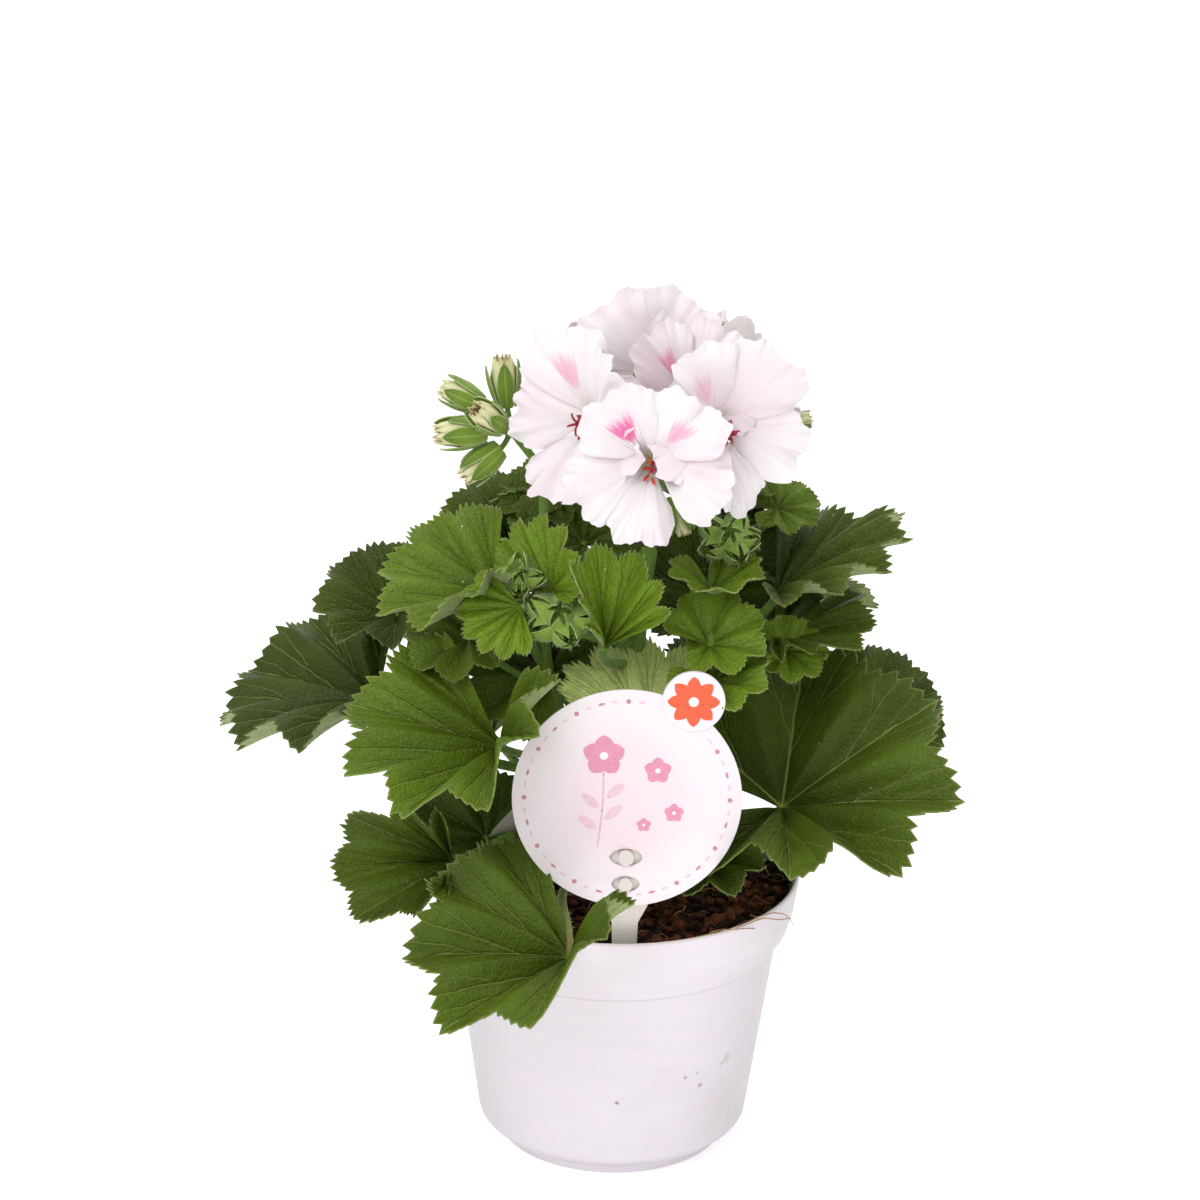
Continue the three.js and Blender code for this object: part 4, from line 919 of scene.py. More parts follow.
def petiole_points(leaf):
    start, end = shoot_point(*leaf["origin"]), np.array(leaf["at"], float)
    if "via" in leaf:
        return points_along(curve_point, [start, *leaf["via"], end], PETIOLE_STEPS)
    x, _, n = facing(leaf["face"], leaf["up"], leaf["turn"])
    reach = np.linalg.norm(end - start)
    arrive = unit(0.9 * n + 0.35 * x)
    leave = end - start
    leave[2] = max(leave[2], 0.35 * reach)
    ends = (start, start + unit(leave) * 0.35 * reach, end - arrive * 0.38 * reach, end)
    return points_along(bezier_point, ends, PETIOLE_STEPS)


def calyx_foot(flower):
    """Where the calyx starts, behind the throat, and the direction out of the flower."""
    n = facing(flower["face"], flower["up"], 0)[2]
    return np.array(flower["at"]) - n * CALYX_DROP, n


# Modelling helpers


def clear_selection():
    bpy.ops.object.select_all(action="DESELECT")


def added(adder, name, **options):
    """Adds a primitive with nothing else selected, and names it."""
    clear_selection()
    adder(**options)
    obj = bpy.context.object
    obj.name = obj.data.name = name
    return obj


def make_active(obj):
    clear_selection()
    obj.select_set(True)
    bpy.context.view_layer.objects.active = obj


def modified(obj, kind, **options):
    """Adds one modifier and applies it."""
    make_active(obj)
    modifier = obj.modifiers.new(kind.title(), kind)
    for label, value in options.items():
        setattr(modifier, label, value)
    bpy.ops.object.modifier_apply(modifier=modifier.name)
    return obj


def merged(obj, outward=True):
    """Merges points that lie together, and turns the faces outward."""
    make_active(obj)
    bpy.ops.object.mode_set(mode="EDIT")
    bpy.ops.mesh.select_all(action="SELECT")
    bpy.ops.mesh.remove_doubles(threshold=WELD_REACH)
    if outward:
        bpy.ops.mesh.normals_make_consistent(inside=False)
    bpy.ops.object.mode_set(mode="OBJECT")


def smoothed(obj, angle):
    make_active(obj)
    bpy.ops.object.shade_smooth_by_angle(angle=math.radians(angle))
    return obj


def joined(name, objects):
    clear_selection()
    for obj in objects:
        obj.select_set(True)
    bpy.context.view_layer.objects.active = objects[0]
    if len(objects) > 1:
        bpy.ops.object.join()
    whole = bpy.context.object
    whole.name = whole.data.name = name
    return whole


def placed(obj):
    """Moves the object's place into its mesh."""
    make_active(obj)
    bpy.ops.object.transform_apply(location=True, rotation=True, scale=True)
    return obj


def carried(obj, slot, *nodes):
    """Ties a finished piece to the frame."""
    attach(obj, "root")
    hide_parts(*nodes)


def wrapped(name, columns, rows, place, materials, thickness):
    """A grid whose points are laid by place(across, along), given a thickness in metres.

    across runs from 1 to -1 and along from 0 to 1. The first material is the upper side and
    the edge, and the second the under side.
    """
    obj = added(bpy.ops.mesh.primitive_grid_add, name, x_subdivisions=columns,
                y_subdivisions=rows, size=2)
    flat = np.empty(len(obj.data.vertices) * 3)
    obj.data.vertices.foreach_get("co", flat)
    flat = flat.reshape(-1, 3)
    points = place(-flat[:, 0], (flat[:, 1] + 1) / 2) * MM
    obj.data.vertices.foreach_set("co", points.ravel())
    obj.data.update()
    merged(obj, outward=False)
    for material in materials:
        obj.data.materials.append(material)
    modified(obj, "SOLIDIFY", thickness=thickness, offset=0, use_even_offset=False,
             material_offset=len(materials) - 1, material_offset_rim=0)
    return smoothed(obj, 60)


def marked_all(obj, label, value):
    """Gives every point of the object the same value of an attribute."""
    layer = obj.data.attributes.new(label, "FLOAT", "POINT")
    layer.data.foreach_set("value", np.full(len(obj.data.vertices), value, np.float32))


def tube(name, points, radii, material, resolution=1):
    """A round tapering tube through the points, radii in millimetres."""
    obj = added(bpy.ops.curve.primitive_bezier_curve_add, name)
    curve = obj.data
    spots = curve.splines[0].bezier_points
    spots.add(len(points) - 2)
    for spot, point, radius in zip(spots, points, radii):
        spot.co = [c * MM for c in point]
        spot.handle_left_type = spot.handle_right_type = "AUTO"
        spot.radius = radius
    curve.resolution_u = 3
    curve.bevel_depth = MM
    curve.bevel_resolution = resolution
    curve.use_fill_caps = True
    make_active(obj)
    bpy.ops.object.convert(target="MESH")
    obj = bpy.context.object
    obj.data.materials.append(material)
    merged(obj)
    return smoothed(obj, 60)


def fused(obj, step):
    """One closed skin over all the object's overlapping parts."""
    modified(obj, "REMESH", mode="VOXEL", voxel_size=step, use_smooth_shade=True)
    return modified(obj, "SMOOTH", factor=0.5, iterations=4)


def aimed(roots, directions, widths, lengths):
    """Placement matrices, in metres, of a unit template that stands along +Z."""
    made = []
    for root, direction, width, length in zip(roots, directions, widths, lengths):
        x, y, z = turned_about(direction)
        matrix = np.eye(4)
        matrix[:3, 0], matrix[:3, 1], matrix[:3, 2] = x * width, y * width, z * length
        matrix[:3, 3] = root
        matrix[:3] *= MM
        made.append(matrix)
    return np.array(made)


def copies(name, template, placements, material):
    """One object that holds the template's mesh at each placement. The template is removed."""
    source = template.data
    points = np.array([(*vertex.co, 1.0) for vertex in source.vertices])
    sides = [tuple(face.vertices) for face in source.polygons]
    bpy.data.objects.remove(template)
    spots = np.einsum("mij,nj->mni", placements, points)[..., :3].reshape(-1, 3)
    count = len(points)
    faces = [tuple(k * count + i for i in side) for k in range(len(placements)) for side in sides]
    obj = added(bpy.ops.mesh.primitive_plane_add, name)
    mesh = bpy.data.meshes.new(name)
    mesh.from_pydata(spots.tolist(), [], faces)
    obj.data = mesh
    mesh.uv_layers.new(name="UVMap")
    mesh.materials.append(material)
    mesh.polygons.foreach_set("use_smooth", [True] * len(faces))
    return obj


def bristles(name, roots, directions, rng, length, material):
    """Fine three-sided hairs."""
    template = added(bpy.ops.mesh.primitive_cone_add, name, vertices=3, radius1=1, radius2=0.1,
                     depth=1, end_fill_type="NGON", location=(0, 0, 0.5))
    placed(template)
    lengths = [length * rng.uniform(0.6, 1.3) for _ in roots]
    placements = aimed(roots, directions, [HAIR_RADIUS] * len(roots), lengths)
    return copies(name, template, placements, material)


def hairs_along(name, points, radii, count, rng, length, material):
    """Hairs that stand out from a tube."""
    roots, directions = [], []
    for _ in range(count):
        place = rng.uniform(0.05, 0.97) * (len(points) - 1)
        k = min(int(place), len(points) - 2)
        w = place - k
        a, b = np.array(points[k], float), np.array(points[k + 1], float)
        x, y, z = turned_about(b - a)
        turn = rng.uniform(0, 2 * math.pi)
        side = spoke(x, y, turn)
        roots.append(a + (b - a) * w + side * 0.9 * (radii[k] * (1 - w) + radii[k + 1] * w))
        directions.append(side + z * rng.uniform(-0.3, 0.4))
    return bristles(name, roots, directions, rng, length, material)


def turned_solid(name, outline, segments, material):
    """A turned shape: a filled ring, extruded and resized from each outline point to the next."""
    radius, height = outline[0]
    obj = added(bpy.ops.mesh.primitive_circle_add, name, vertices=segments, radius=radius * MM,
                fill_type="NGON", location=(0, 0, 0))
    obj.data.transform(Matrix.Translation((0, 0, height * MM)))
    bpy.ops.object.mode_set(mode="EDIT")
    bpy.ops.mesh.select_all(action="SELECT")
    for (r0, z0), (r1, z1) in zip(outline, outline[1:]):
        bpy.ops.mesh.extrude_region_move(TRANSFORM_OT_translate={"value": (0, 0, (z1 - z0) * MM)})
        bpy.ops.transform.resize(value=(r1 / r0, r1 / r0, 1), center_override=(0, 0, z1 * MM))
    bpy.ops.mesh.select_all(action="SELECT")
    bpy.ops.mesh.normals_make_consistent(inside=False)
    bpy.ops.object.mode_set(mode="OBJECT")
    obj.data.materials.append(material)
    return obj


def cut(obj, cutter):
    modified(obj, "BOOLEAN", operation="DIFFERENCE", solver="EXACT", object=cutter)
    bpy.data.objects.remove(cutter)


# Pot and compost


class GERANIUM_OT_pot(bpy.types.Operator):
    """Model the thin plastic pot with its collar, rim and drain holes"""

    bl_idname = "geranium.pot"
    bl_label = "Nursery Pot"

    def execute(self, context):
        pot = context.scene.geranium_pot
        obj = turned_solid("nursery_pot", POT_OUTLINE, pot.segments, pot_plastic(pot))
        drills = []
        for k in range(DRAIN_COUNT):
            angle = 2 * math.pi * (k + 0.5) / DRAIN_COUNT
            drills.append(added(
                bpy.ops.mesh.primitive_cylinder_add, "drain_drill", vertices=32,
                radius=DRAIN_RADIUS * MM, depth=0.010,
                location=(DRAIN_CIRCLE * math.cos(angle) * MM,
                          DRAIN_CIRCLE * math.sin(angle) * MM, 0)))
        cut(obj, joined("drain_drills", drills))
        modified(obj, "BEVEL", width=pot.rim_round, segments=3, limit_method="ANGLE",
                 angle_limit=math.radians(28))
        carried(smoothed(obj, 40), "pot", "grow_pot")
        return {"FINISHED"}


def soil_height(x, y):
    """Height of the compost's uneven top, from its mean, in millimetres."""
    return (1.5 * noise.noise(Vector((x * 0.10, y * 0.10, 3.1)))
            + 0.9 * noise.noise(Vector((x * 0.30, y * 0.30, 7.7)))
            + 0.5 * noise.noise(Vector((x * 0.85, y * 0.85, 1.3))))


def soil_crumbs(compost, material, chip_material, rng):
    """Crumbs and short bark chips that lie on the top."""
    parts = []
    for k in range(6):
        template = added(bpy.ops.mesh.primitive_ico_sphere_add, "crumb", subdivisions=1, radius=1)
        for vertex in template.data.vertices:
            vertex.co *= rng.uniform(0.62, 1.25)
        long = k >= 4
        share = compost.crumbs // 6
        placements = []
        for _ in range(share):
            reach = CRUMB_REACH * math.sqrt(rng.random())
            angle = rng.uniform(0, 2 * math.pi)
            x, y = reach * math.cos(angle), reach * math.sin(angle)
            size = 0.6 + 2.0 * rng.random() ** 2 * (0.7 if long else 1)
            z = SOIL_TOP + soil_height(x, y) + 0.25 * size
            turn = Matrix.Rotation(rng.uniform(0, 6.28), 4, "Z") @ Matrix.Rotation(
                rng.uniform(-0.5, 0.5), 4, "X")
            scale = Matrix.Diagonal((size * (3.4 if long else 1.2), size, size * 0.7, 1))
            matrix = Matrix.Translation((x, y, z)) @ turn @ scale
            placements.append(np.array(Matrix.Scale(MM, 4) @ matrix))
        chip = chip_material if k % 3 == 2 else material
        made = copies("crumbs", template, np.array(placements), chip)
        made.data.polygons.foreach_set("use_smooth", [False] * len(made.data.polygons))
        parts.append(made)
    return parts


def coir_strands(compost, material, rng):
    """Bent fibres on the compost, a few of them over the rim."""
    parts = []
    for _ in range(compost.fibres):
        reach = STRAND_START * math.sqrt(rng.random())
        angle = rng.uniform(0, 2 * math.pi)
        x, y = reach * math.cos(angle), reach * math.sin(angle)
        heading = rng.uniform(0, 2 * math.pi)
        points = []
        for step in range(6):
            x = max(-CRUMB_REACH, min(CRUMB_REACH, x))
            if math.hypot(x, y) > STRAND_REACH:
                x, y = (STRAND_REACH * c / math.hypot(x, y) for c in (x, y))
            lift = 0.7 + 1.2 * math.sin(math.pi * step / 5) * rng.random()
            points.append((x, y, SOIL_TOP + soil_height(x, y) + lift))
            heading += rng.uniform(-0.8, 0.8)
            x += 2.6 * math.cos(heading)
            y += 2.6 * math.sin(heading)
        parts.append(tube("coir", points, [rng.uniform(0.10, 0.22)] * 6, material, 0))
    over_rim = [
        [(33, -44, 88), (38, -45.5, 92.4), (42, -45.2, 94.1), (47, -40.5, 93.9), (52, -36, 91.5),
         (56, -28, 88.4)],
        [(40, -36, 88), (44, -38.5, 92.8), (48, -37.6, 94.0), (51.5, -35.0, 93.4),
         (55.5, -32, 90.5), (57.2, -31, 87.0)],
        [(20, -50, 88.5), (27, -51.5, 92.0), (32, -50.6, 94.1), (37.5, -48.4, 93.6),
         (42.6, -44.0, 92.0), (45, -38, 89)],
    ]
    for points in over_rim:
        parts.append(tube("coir_over_rim", points, [0.16] * len(points), material, 0))
    return parts


class GERANIUM_OT_compost(bpy.types.Operator):
    """Model the compost: a solid with an uneven top, loose crumbs, bark chips and coir"""

    bl_idname = "geranium.compost"
    bl_label = "Compost"

    def execute(self, context):
        compost = context.scene.geranium_compost
        rng = random.Random(11)
        skin = compost_skin(compost)
        dry = compost_skin(compost, "dry_crumbs", 0.52)
        body = turned_solid("compost_body", SOIL_OUTLINE, 128, skin)
        modified(body, "TRIANGULATE", quad_method="BEAUTY")
        for vertex in body.data.vertices:
            if vertex.co.z > (SOIL_TOP - 2) * MM:
                x, y = vertex.co.x / MM, vertex.co.y / MM
                vertex.co.z += soil_height(x, y) * MM
        smoothed(body, 80)
        fibre = spotted("coir", compost.fibre, darker(compost.fibre, 0.45),
                        500.0, rough=(0.7, 0.9), relief=0.5)
        parts = [body, *soil_crumbs(compost, skin, dry, rng), *coir_strands(compost, fibre, rng)]
        carried(joined("compost_fill", parts), "compost", "potting_soil")
        return {"FINISHED"}


# Label and stake


def leaned(obj):
    """Leans a piece drawn about the card's middle back, and moves it to the card's place."""
    obj.data.transform(Matrix.Rotation(math.radians(-LABEL_LEAN), 4, "X"))
    obj.data.transform(Matrix.Translation([c * MM for c in LABEL_CENTRE]))
    return obj


def upright_disc(name, radius, depth, x, y, z, steps, stretch=(1, 1)):
    """A round plate that faces the front, at a place on the card, in millimetres."""
    obj = added(bpy.ops.mesh.primitive_cylinder_add, name, vertices=steps, radius=radius * MM,
                depth=depth * MM)
    obj.data.transform(Matrix.Diagonal((stretch[0], stretch[1], 1, 1)))
    obj.data.transform(Matrix.Rotation(math.pi / 2, 4, "X"))
    obj.data.transform(Matrix.Translation((x * MM, y * MM, z * MM)))
    return obj


def printed_leaf(name, x, z, length, width, turn, material, front):
    """A pointed oval of ink: a disc drawn out to a tip at both ends."""
    obj = added(bpy.ops.mesh.primitive_circle_add, name, vertices=24, radius=1, fill_type="NGON")
    for vertex in obj.data.vertices:
        vertex.co.y *= (1 - vertex.co.x ** 2) ** 0.25
        vertex.co.x *= length / 2
        vertex.co.y *= width / 2
    return inked(obj, x, z, turn, material, front)


def inked(obj, x, z, turn, material, front):
    """Turns a flat shape to face the front, at a place on the card, and gives it its ink."""
    obj.data.transform(Matrix.Rotation(math.radians(turn), 4, "Z"))
    obj.data.transform(Matrix.Scale(MM, 4))
    obj.data.transform(Matrix.Rotation(math.pi / 2, 4, "X"))
    obj.data.transform(Matrix.Translation((x * MM, (front - PRINT_DEPTH / 2) * MM, z * MM)))
    obj.data.materials.append(material)
    return modified(obj, "SOLIDIFY", thickness=PRINT_DEPTH * MM, offset=0)


def printed_dot(name, x, z, radius, material, front):
    obj = added(bpy.ops.mesh.primitive_circle_add, name, vertices=20, radius=radius,
                fill_type="NGON")
    return inked(obj, x, z, 0, material, front)


def printed_flower(name, x, z, radius, petals, material, heart, front):
    """A plain blossom of round petals about a small middle."""
    parts = []
    for k in range(petals):
        angle = 360 * k / petals + 90
        reach = 0.56 * radius
        parts.append(printed_leaf(
            name, x + reach * math.cos(math.radians(angle)),
            z + reach * math.sin(math.radians(angle)), 0.92 * radius,
            (0.90 if petals < 6 else 0.56) * radius, angle, material, front - 0.004 * k))
    parts.append(printed_dot(name, x, z, 0.2 * radius, heart, front - 0.04))
    return parts


def card_print(label, front):
    """The card's own plain design: a sprig, small blossoms and a ring of dots and dashes."""
    pink, rose = ink("pink_ink", label.print_pink), ink("rose_ink", label.print_rose)
    pale = ink("pale_ink", tuple(0.5 * (a + b) for a, b in zip(label.print_pink, label.card)))
    paper = ink("paper_white", label.card)
    parts = []
    for k in range(PRINT_RING_STEPS):
        angle = 2 * math.pi * k / PRINT_RING_STEPS
        x, z = PRINT_RING * math.cos(angle), PRINT_RING * math.sin(angle)
        if math.hypot(x - BADGE_OFFSET[0], z - BADGE_OFFSET[1]) < 12.5:
            continue
        if k % 4 == 0:
            parts.append(printed_dot("ring_dot", x, z, 0.75, rose, front))
        else:
            parts.append(printed_leaf("ring_dash", x, z, 2.3, 0.8, math.degrees(angle) + 90,
                                      rose if k % 4 == 2 else pale, front))
    stalk = [(-9 + 1.6 * math.sin(2.1 * t), -16 + 27 * t) for t in (k / 9 for k in range(10))]
    for (x0, z0), (x1, z1) in zip(stalk, stalk[1:]):
        turn = math.degrees(math.atan2(z1 - z0, x1 - x0))
        parts.append(printed_leaf("sprig_stalk", (x0 + x1) / 2, (z0 + z1) / 2, 4.2, 0.75, turn,
                                  pale, front))
    for x, z, turn in ((-12.4, -8.0, 145), (-4.2, -4.6, 40), (-11.6, -0.8, 140), (-3.6, 2.6, 42)):
        parts.append(printed_leaf("sprig_leaf", x, z, 7.2, 3.0, turn, pale, front))
    blossoms = ((-7.4, 14.2, 6.6), (9.5, 9.5, 4.3), (14.8, -4.5, 3.1), (5.4, -8.6, 2.3))
    for x, z, radius in blossoms:
        parts += printed_flower("blossom", x, z, radius, 5, pink, paper, front)
    return parts


class GERANIUM_OT_label(bpy.types.Operator):
    """Model the round card with its two slots, the raised badge and a plain printed design"""

    bl_idname = "geranium.label"
    bl_label = "Plant Label"

    def execute(self, context):
        label = context.scene.geranium_label
        face = card_face(label)
        front = -LABEL_THICKNESS / 2
        card = upright_disc("label_card", label.radius / MM, LABEL_THICKNESS, 0, 0, 0, 160)
        slots = [
            upright_disc("label_slot", 1, 6, 0, 0, offset, 48,
                         (half, radius + LABEL_CLEARANCE))
            for offset, half, radius in zip(PEG_OFFSETS, SLOT_HALF_WIDTHS, PEG_RADII)]
        cut(card, joined("label_slots", slots))
        badge_radius = label.badge_radius / MM
        badge = upright_disc("label_badge", badge_radius, LABEL_THICKNESS + BADGE_RAISED,
                             BADGE_OFFSET[0], -BADGE_RAISED / 2, BADGE_OFFSET[1], 96)
        for plate in (card, badge):
            plate.data.materials.append(face)
            modified(plate, "BEVEL", width=0.00012, segments=2, limit_method="ANGLE",
                     angle_limit=math.radians(40))
            smoothed(plate, 40)
        coral, paper = ink("coral_ink", label.coral), ink("badge_white", label.card)
        badge_front = front - BADGE_RAISED
        prints = card_print(label, front) + printed_flower(
            "badge_flower", *BADGE_OFFSET, 0.82 * badge_radius, 8, coral, paper, badge_front)
        carried(leaned(joined("label_plate", [card, badge, *prints])), "label", "label_disc")
        return {"FINISHED"}


class GERANIUM_OT_stake(bpy.types.Operator):
    """Model the clear stake: a bent flat spear with two round pegs through the card's slots"""

    bl_idname = "geranium.stake"
    bl_label = "Clear Stake"

    def execute(self, context):
        clear = clear_plastic(context.scene.geranium_label)
        strip = added(bpy.ops.mesh.primitive_circle_add, "clear_stake",
                      vertices=len(STAKE_OUTLINE), radius=1, fill_type="NGON")
        for vertex, (x, z) in zip(strip.data.vertices, STAKE_OUTLINE):
            vertex.co = (x * MM, 0, z * MM)
        modified(strip, "SOLIDIFY", thickness=STAKE_THICKNESS * MM, offset=0)
        merged(strip)
        back = LABEL_THICKNESS / 2 + LABEL_CLEARANCE + STAKE_THICKNESS / 2
        for vertex in strip.data.vertices:
            below = max(0, STAKE_BEND_START - vertex.co.z / MM)
            vertex.co.y += (back + STAKE_BEND * below) * MM
        pegs = [upright_disc("stake_peg", radius, 3, 0, -0.2, offset, 48)
                for offset, radius in zip(PEG_OFFSETS, PEG_RADII)]
        for part in (strip, *pegs):
            part.data.materials.append(clear)
            modified(part, "BEVEL", width=0.00025, segments=3, limit_method="ANGLE",
                     angle_limit=math.radians(30))
            smoothed(part, 40)
        carried(leaned(joined("clear_stake", [strip, *pegs])), "stake", "label_stake")
        return {"FINISHED"}


# Stems


def limb(name, points, radii, skin, hair, hair_count, rng, length):
    """A tube and the hairs on it."""
    return (tube(name, points, radii, skin),
            hairs_along(name + "_hairs", points, radii, hair_count, rng, length, hair))


class GERANIUM_OT_stems(bpy.types.Operator):
    """Model the trunk with its shoots, the stalk of the flower head and the stalk of the buds"""

    bl_idname = "geranium.stems"
    bl_label = "Stems and Stalks"

    def execute(self, context):
        stem = context.scene.geranium_stem
        skin, hair = stem_skin(stem), hair_coat()
        length = stem.hair_length / MM
        rng = random.Random(23)
        tubes, coats = [], []

        def grow(name, points, radii, count):
            body, coat = limb(name, points, radii, skin, hair, count, rng, length)
            tubes.append(body)
            coats.append(coat)

        def grow_to_hub(name, route, radius, hub_radius, count):
            """A stalk that ends in the knob where its pedicels start."""
            grow(name, points_along(curve_point, route, 8),
                 [radius - 0.02 * k for k in range(9)], count)
            tubes.append(knob("hub", route[-1], hub_radius))

        def finish(name, step, node):
            """Makes one piece of the tubes grown so far and their hairs, and starts afresh."""
            body = fused(joined(name, tubes), step)
            carried(joined(name, [body, *coats]), "stem", node)
            tubes.clear()
            coats.clear()

        steps = 14
        for name, shoot in SHOOTS.items():
            radii = [shoot["radius"] * (1.06 - 0.14 * k / steps + 0.10 * (k % 4 == 2))
                     for k in range(steps + 1)]
            grow(name, points_along(curve_point, shoot["points"], steps), radii,
                 60 if name == "trunk" else 260)
        tubes.append(knob("knot", KNOT, KNOT_RADIUS, 24, 16))
        finish("stem_branches", stem.skin_step, "branched_stem")

        hub = np.array(FLOWER_HUB, float)
        grow_to_hub("head_stalk", [shoot_point("centre", 0.97), HEAD_STALK_MIDDLE, hub],
                    2.1, 2.7, 180)
        for flower in FLOWERS:
            foot, n = calyx_foot(flower)
            reach = np.linalg.norm(foot - hub)
            ends = (hub, hub + np.array((0, 0, 0.35 * reach)), foot - 0.35 * reach * n,
                    foot + n * 5.5)
            grow("pedicel", points_along(bezier_point, ends, 8), [0.95] * 6 + [1.15, 1.7, 2.0],
                 90)
        for bud in HEAD_BUDS:
            add_pedicel(grow, bud, hub)
        finish("head_stalk", FINE_SKIN * stem.skin_step, "flower_stalk")

        hub = np.array(BUD_HUB, float)
        grow_to_hub("side_stalk", [shoot_point("left", 0.985), SIDE_STALK_MIDDLE, hub],
                    1.6, 2.3, 160)
        for bud in CREAM_BUDS:
            add_pedicel(grow, bud, hub)
        finish("side_stalk", FINE_SKIN * stem.skin_step, "bud_stalk")
        return {"FINISHED"}


def knob(name, centre, radius, segments=20, rings=12):
    return placed(added(
        bpy.ops.mesh.primitive_uv_sphere_add, name, segments=segments, ring_count=rings,
        radius=radius * MM, location=[c * MM for c in centre]))


def add_pedicel(grow, bud, hub):
    """A pedicel from the hub to the foot of a bud, where it arrives along the bud's axis."""
    base = np.array(bud["base"], float)
    along = unit(np.array(bud["tip"]) - base)
    foot = base + 0.6 * along
    ends = (hub, hub + 0.4 * (base - hub), foot - 3 * along, foot)
    grow("pedicel", points_along(bezier_point, ends, 6), [1.05] * 6 + [1.5], 45)


# Leaves


def leaf_look(leaf, rng):
    """What makes one leaf differ from the next."""
    return {
        "teeth": 4 if leaf["size"] > LARGE_LEAF else 3,
        "tooth_sizes": np.array([rng.uniform(0.55, 1.25) for _ in range(61)]),
        "pleat": PLEAT * min(1.0, leaf.get("spread", DEFAULT_SPREAD) / 125) * (
            max(0.10, 1.05 - 0.55 * leaf["age"])),
        "phases": [rng.uniform(0, 2 * math.pi) for _ in range(4)],
        "curl": MARGIN_CURL * leaf["size"],
    }


def margin_hairs(leaf, look, tooth, rng, hair, length):
    count = 150 if leaf["size"] > LARGE_LEAF else 70
    s = np.array([rng.uniform(-0.98, 0.98) for _ in range(count)])
    edge = leaf_points(leaf, s, np.full(count, 0.995), look, tooth=tooth)
    inner = leaf_points(leaf, s, np.full(count, 0.90), look, tooth=tooth)
    directions = [unit(e - i) + np.array([rng.uniform(-0.6, 0.6) for _ in range(3)])
                  for e, i in zip(edge, inner)]
    return bristles("margin_hairs", edge, directions, rng, length * 0.8, hair)


class GERANIUM_OT_leaves(bpy.types.Operator):
    """Model every leaf: a pleated, quilted and toothed blade on a hairy petiole"""

    bl_idname = "geranium.leaves"
    bl_label = "Leaves"

    def execute(self, context):
        settings = context.scene.geranium_leaf
        stem = context.scene.geranium_stem
        sides = [leaf_upper(settings), leaf_under(settings)]
        skin, hair = bpy.data.materials["stem_skin"], bpy.data.materials["hair_coat"]
        length = stem.hair_length / MM
        for number, leaf in enumerate(LEAVES):
            rng = random.Random(100 + number)
            look = leaf_look(leaf, rng)
            large = leaf["size"] > LARGE_LEAF
            columns = VEINS * (6 * look["teeth"] + 4)
            rows = 22 if leaf["size"] > 50 else 16 if large else 12
            blade = wrapped(
                leaf["name"] + "_blade", columns, rows,
                lambda s, v: leaf_points(leaf, s, v, look, settings.quilting / MM,
                                         settings.tooth),
                sides, settings.thickness)
            marked_all(blade, "age", leaf["age"])
            full = PETIOLE_RADIUS * (1.1 if large else 0.85)
            radii = [full * (1.15 - 0.25 * k / PETIOLE_STEPS) for k in range(PETIOLE_STEPS + 1)]
            stalk, coat = limb("petiole", petiole_points(leaf), radii, skin, hair, 110, rng,
                               length)
            margin = margin_hairs(leaf, look, settings.tooth, rng, hair, length)
            whole = joined(leaf["name"] + "_blade", [blade, stalk, coat, margin])
            carried(whole, "leaf", leaf["name"])
        return {"FINISHED"}


# Flowers


def petal_points(flower, petal, look, s, v, ruffle):
    """World points of one petal. s is across, -1 to 1, and v along from the throat."""
    size = flower["size"]
    p = look["phases"]
    bend = math.radians(PETAL_FLATTEN)
    slope = math.radians(THROAT_SLOPE + look["lean"])
    outline = 0.60 + 0.40 * np.clip(1 - np.abs(s) ** 2.8, 0, 1) ** 0.5
    outline = outline * (1 + 0.036 * np.sin(7.1 * s + p[0]) + 0.020 * np.sin(19 * s + p[1])
                         + 0.008 * np.sin(43 * s + p[4]))
    outline = outline - 0.03 * np.exp(-(s / 0.10) ** 2)
    length = size * look["stretch"] * outline
    v = 0.05 + 0.95 * v
    out = length / bend * (np.sin(slope + bend * v) - math.sin(slope))
    rise = length / bend * (math.cos(slope) - np.cos(slope + bend * v))
    tilt = slope + bend * v
    middle = petal["angle"] + (0 if petal["angle"] else flower.get("bottom", 0))
    half = petal["half"] * (1 if petal["mark"] is None else flower.get("wide", 1))
    angle = math.radians(middle) + np.radians(half) * s * (0.72 + 0.28 * v)
    waves = (1.15 * v**2 * np.sin(4.6 * s + p[2]) + 0.70 * v**3.5 * np.sin(11.5 * s + p[3])
             + 0.36 * v**7 * np.sin(27 * s + p[4]) + 0.18 * v**9 * np.sin(51 * s + p[5]))
    folds = (0.24 * np.sin(17 * s + 3.5 * v + p[1]) * v * (1.15 - v)
             + 0.48 * np.sin(6.3 * s + 5.1 * v + p[3]) * np.sin(4.7 * v - 3.9 * s + p[0]) * v**2)
    crease = folds - 0.9 * np.exp(-(s / 0.11) ** 2) * v * (1 - 0.5 * v)
    roll = -look["roll"] * ramp((v - 0.70) / 0.30) ** 2
    tuck = PETAL_TUCK * np.maximum(s * np.sign(petal["angle"]), 0) if petal["mark"] is None else 0.0
    lift = ((petal["level"] - tuck) * v + ruffle * waves + crease + roll
            + look["cup"] * (s**2 - 0.3) * v**2 * size)
    return fanned(flower, flower["roll"], out, rise, lift, tilt, angle)


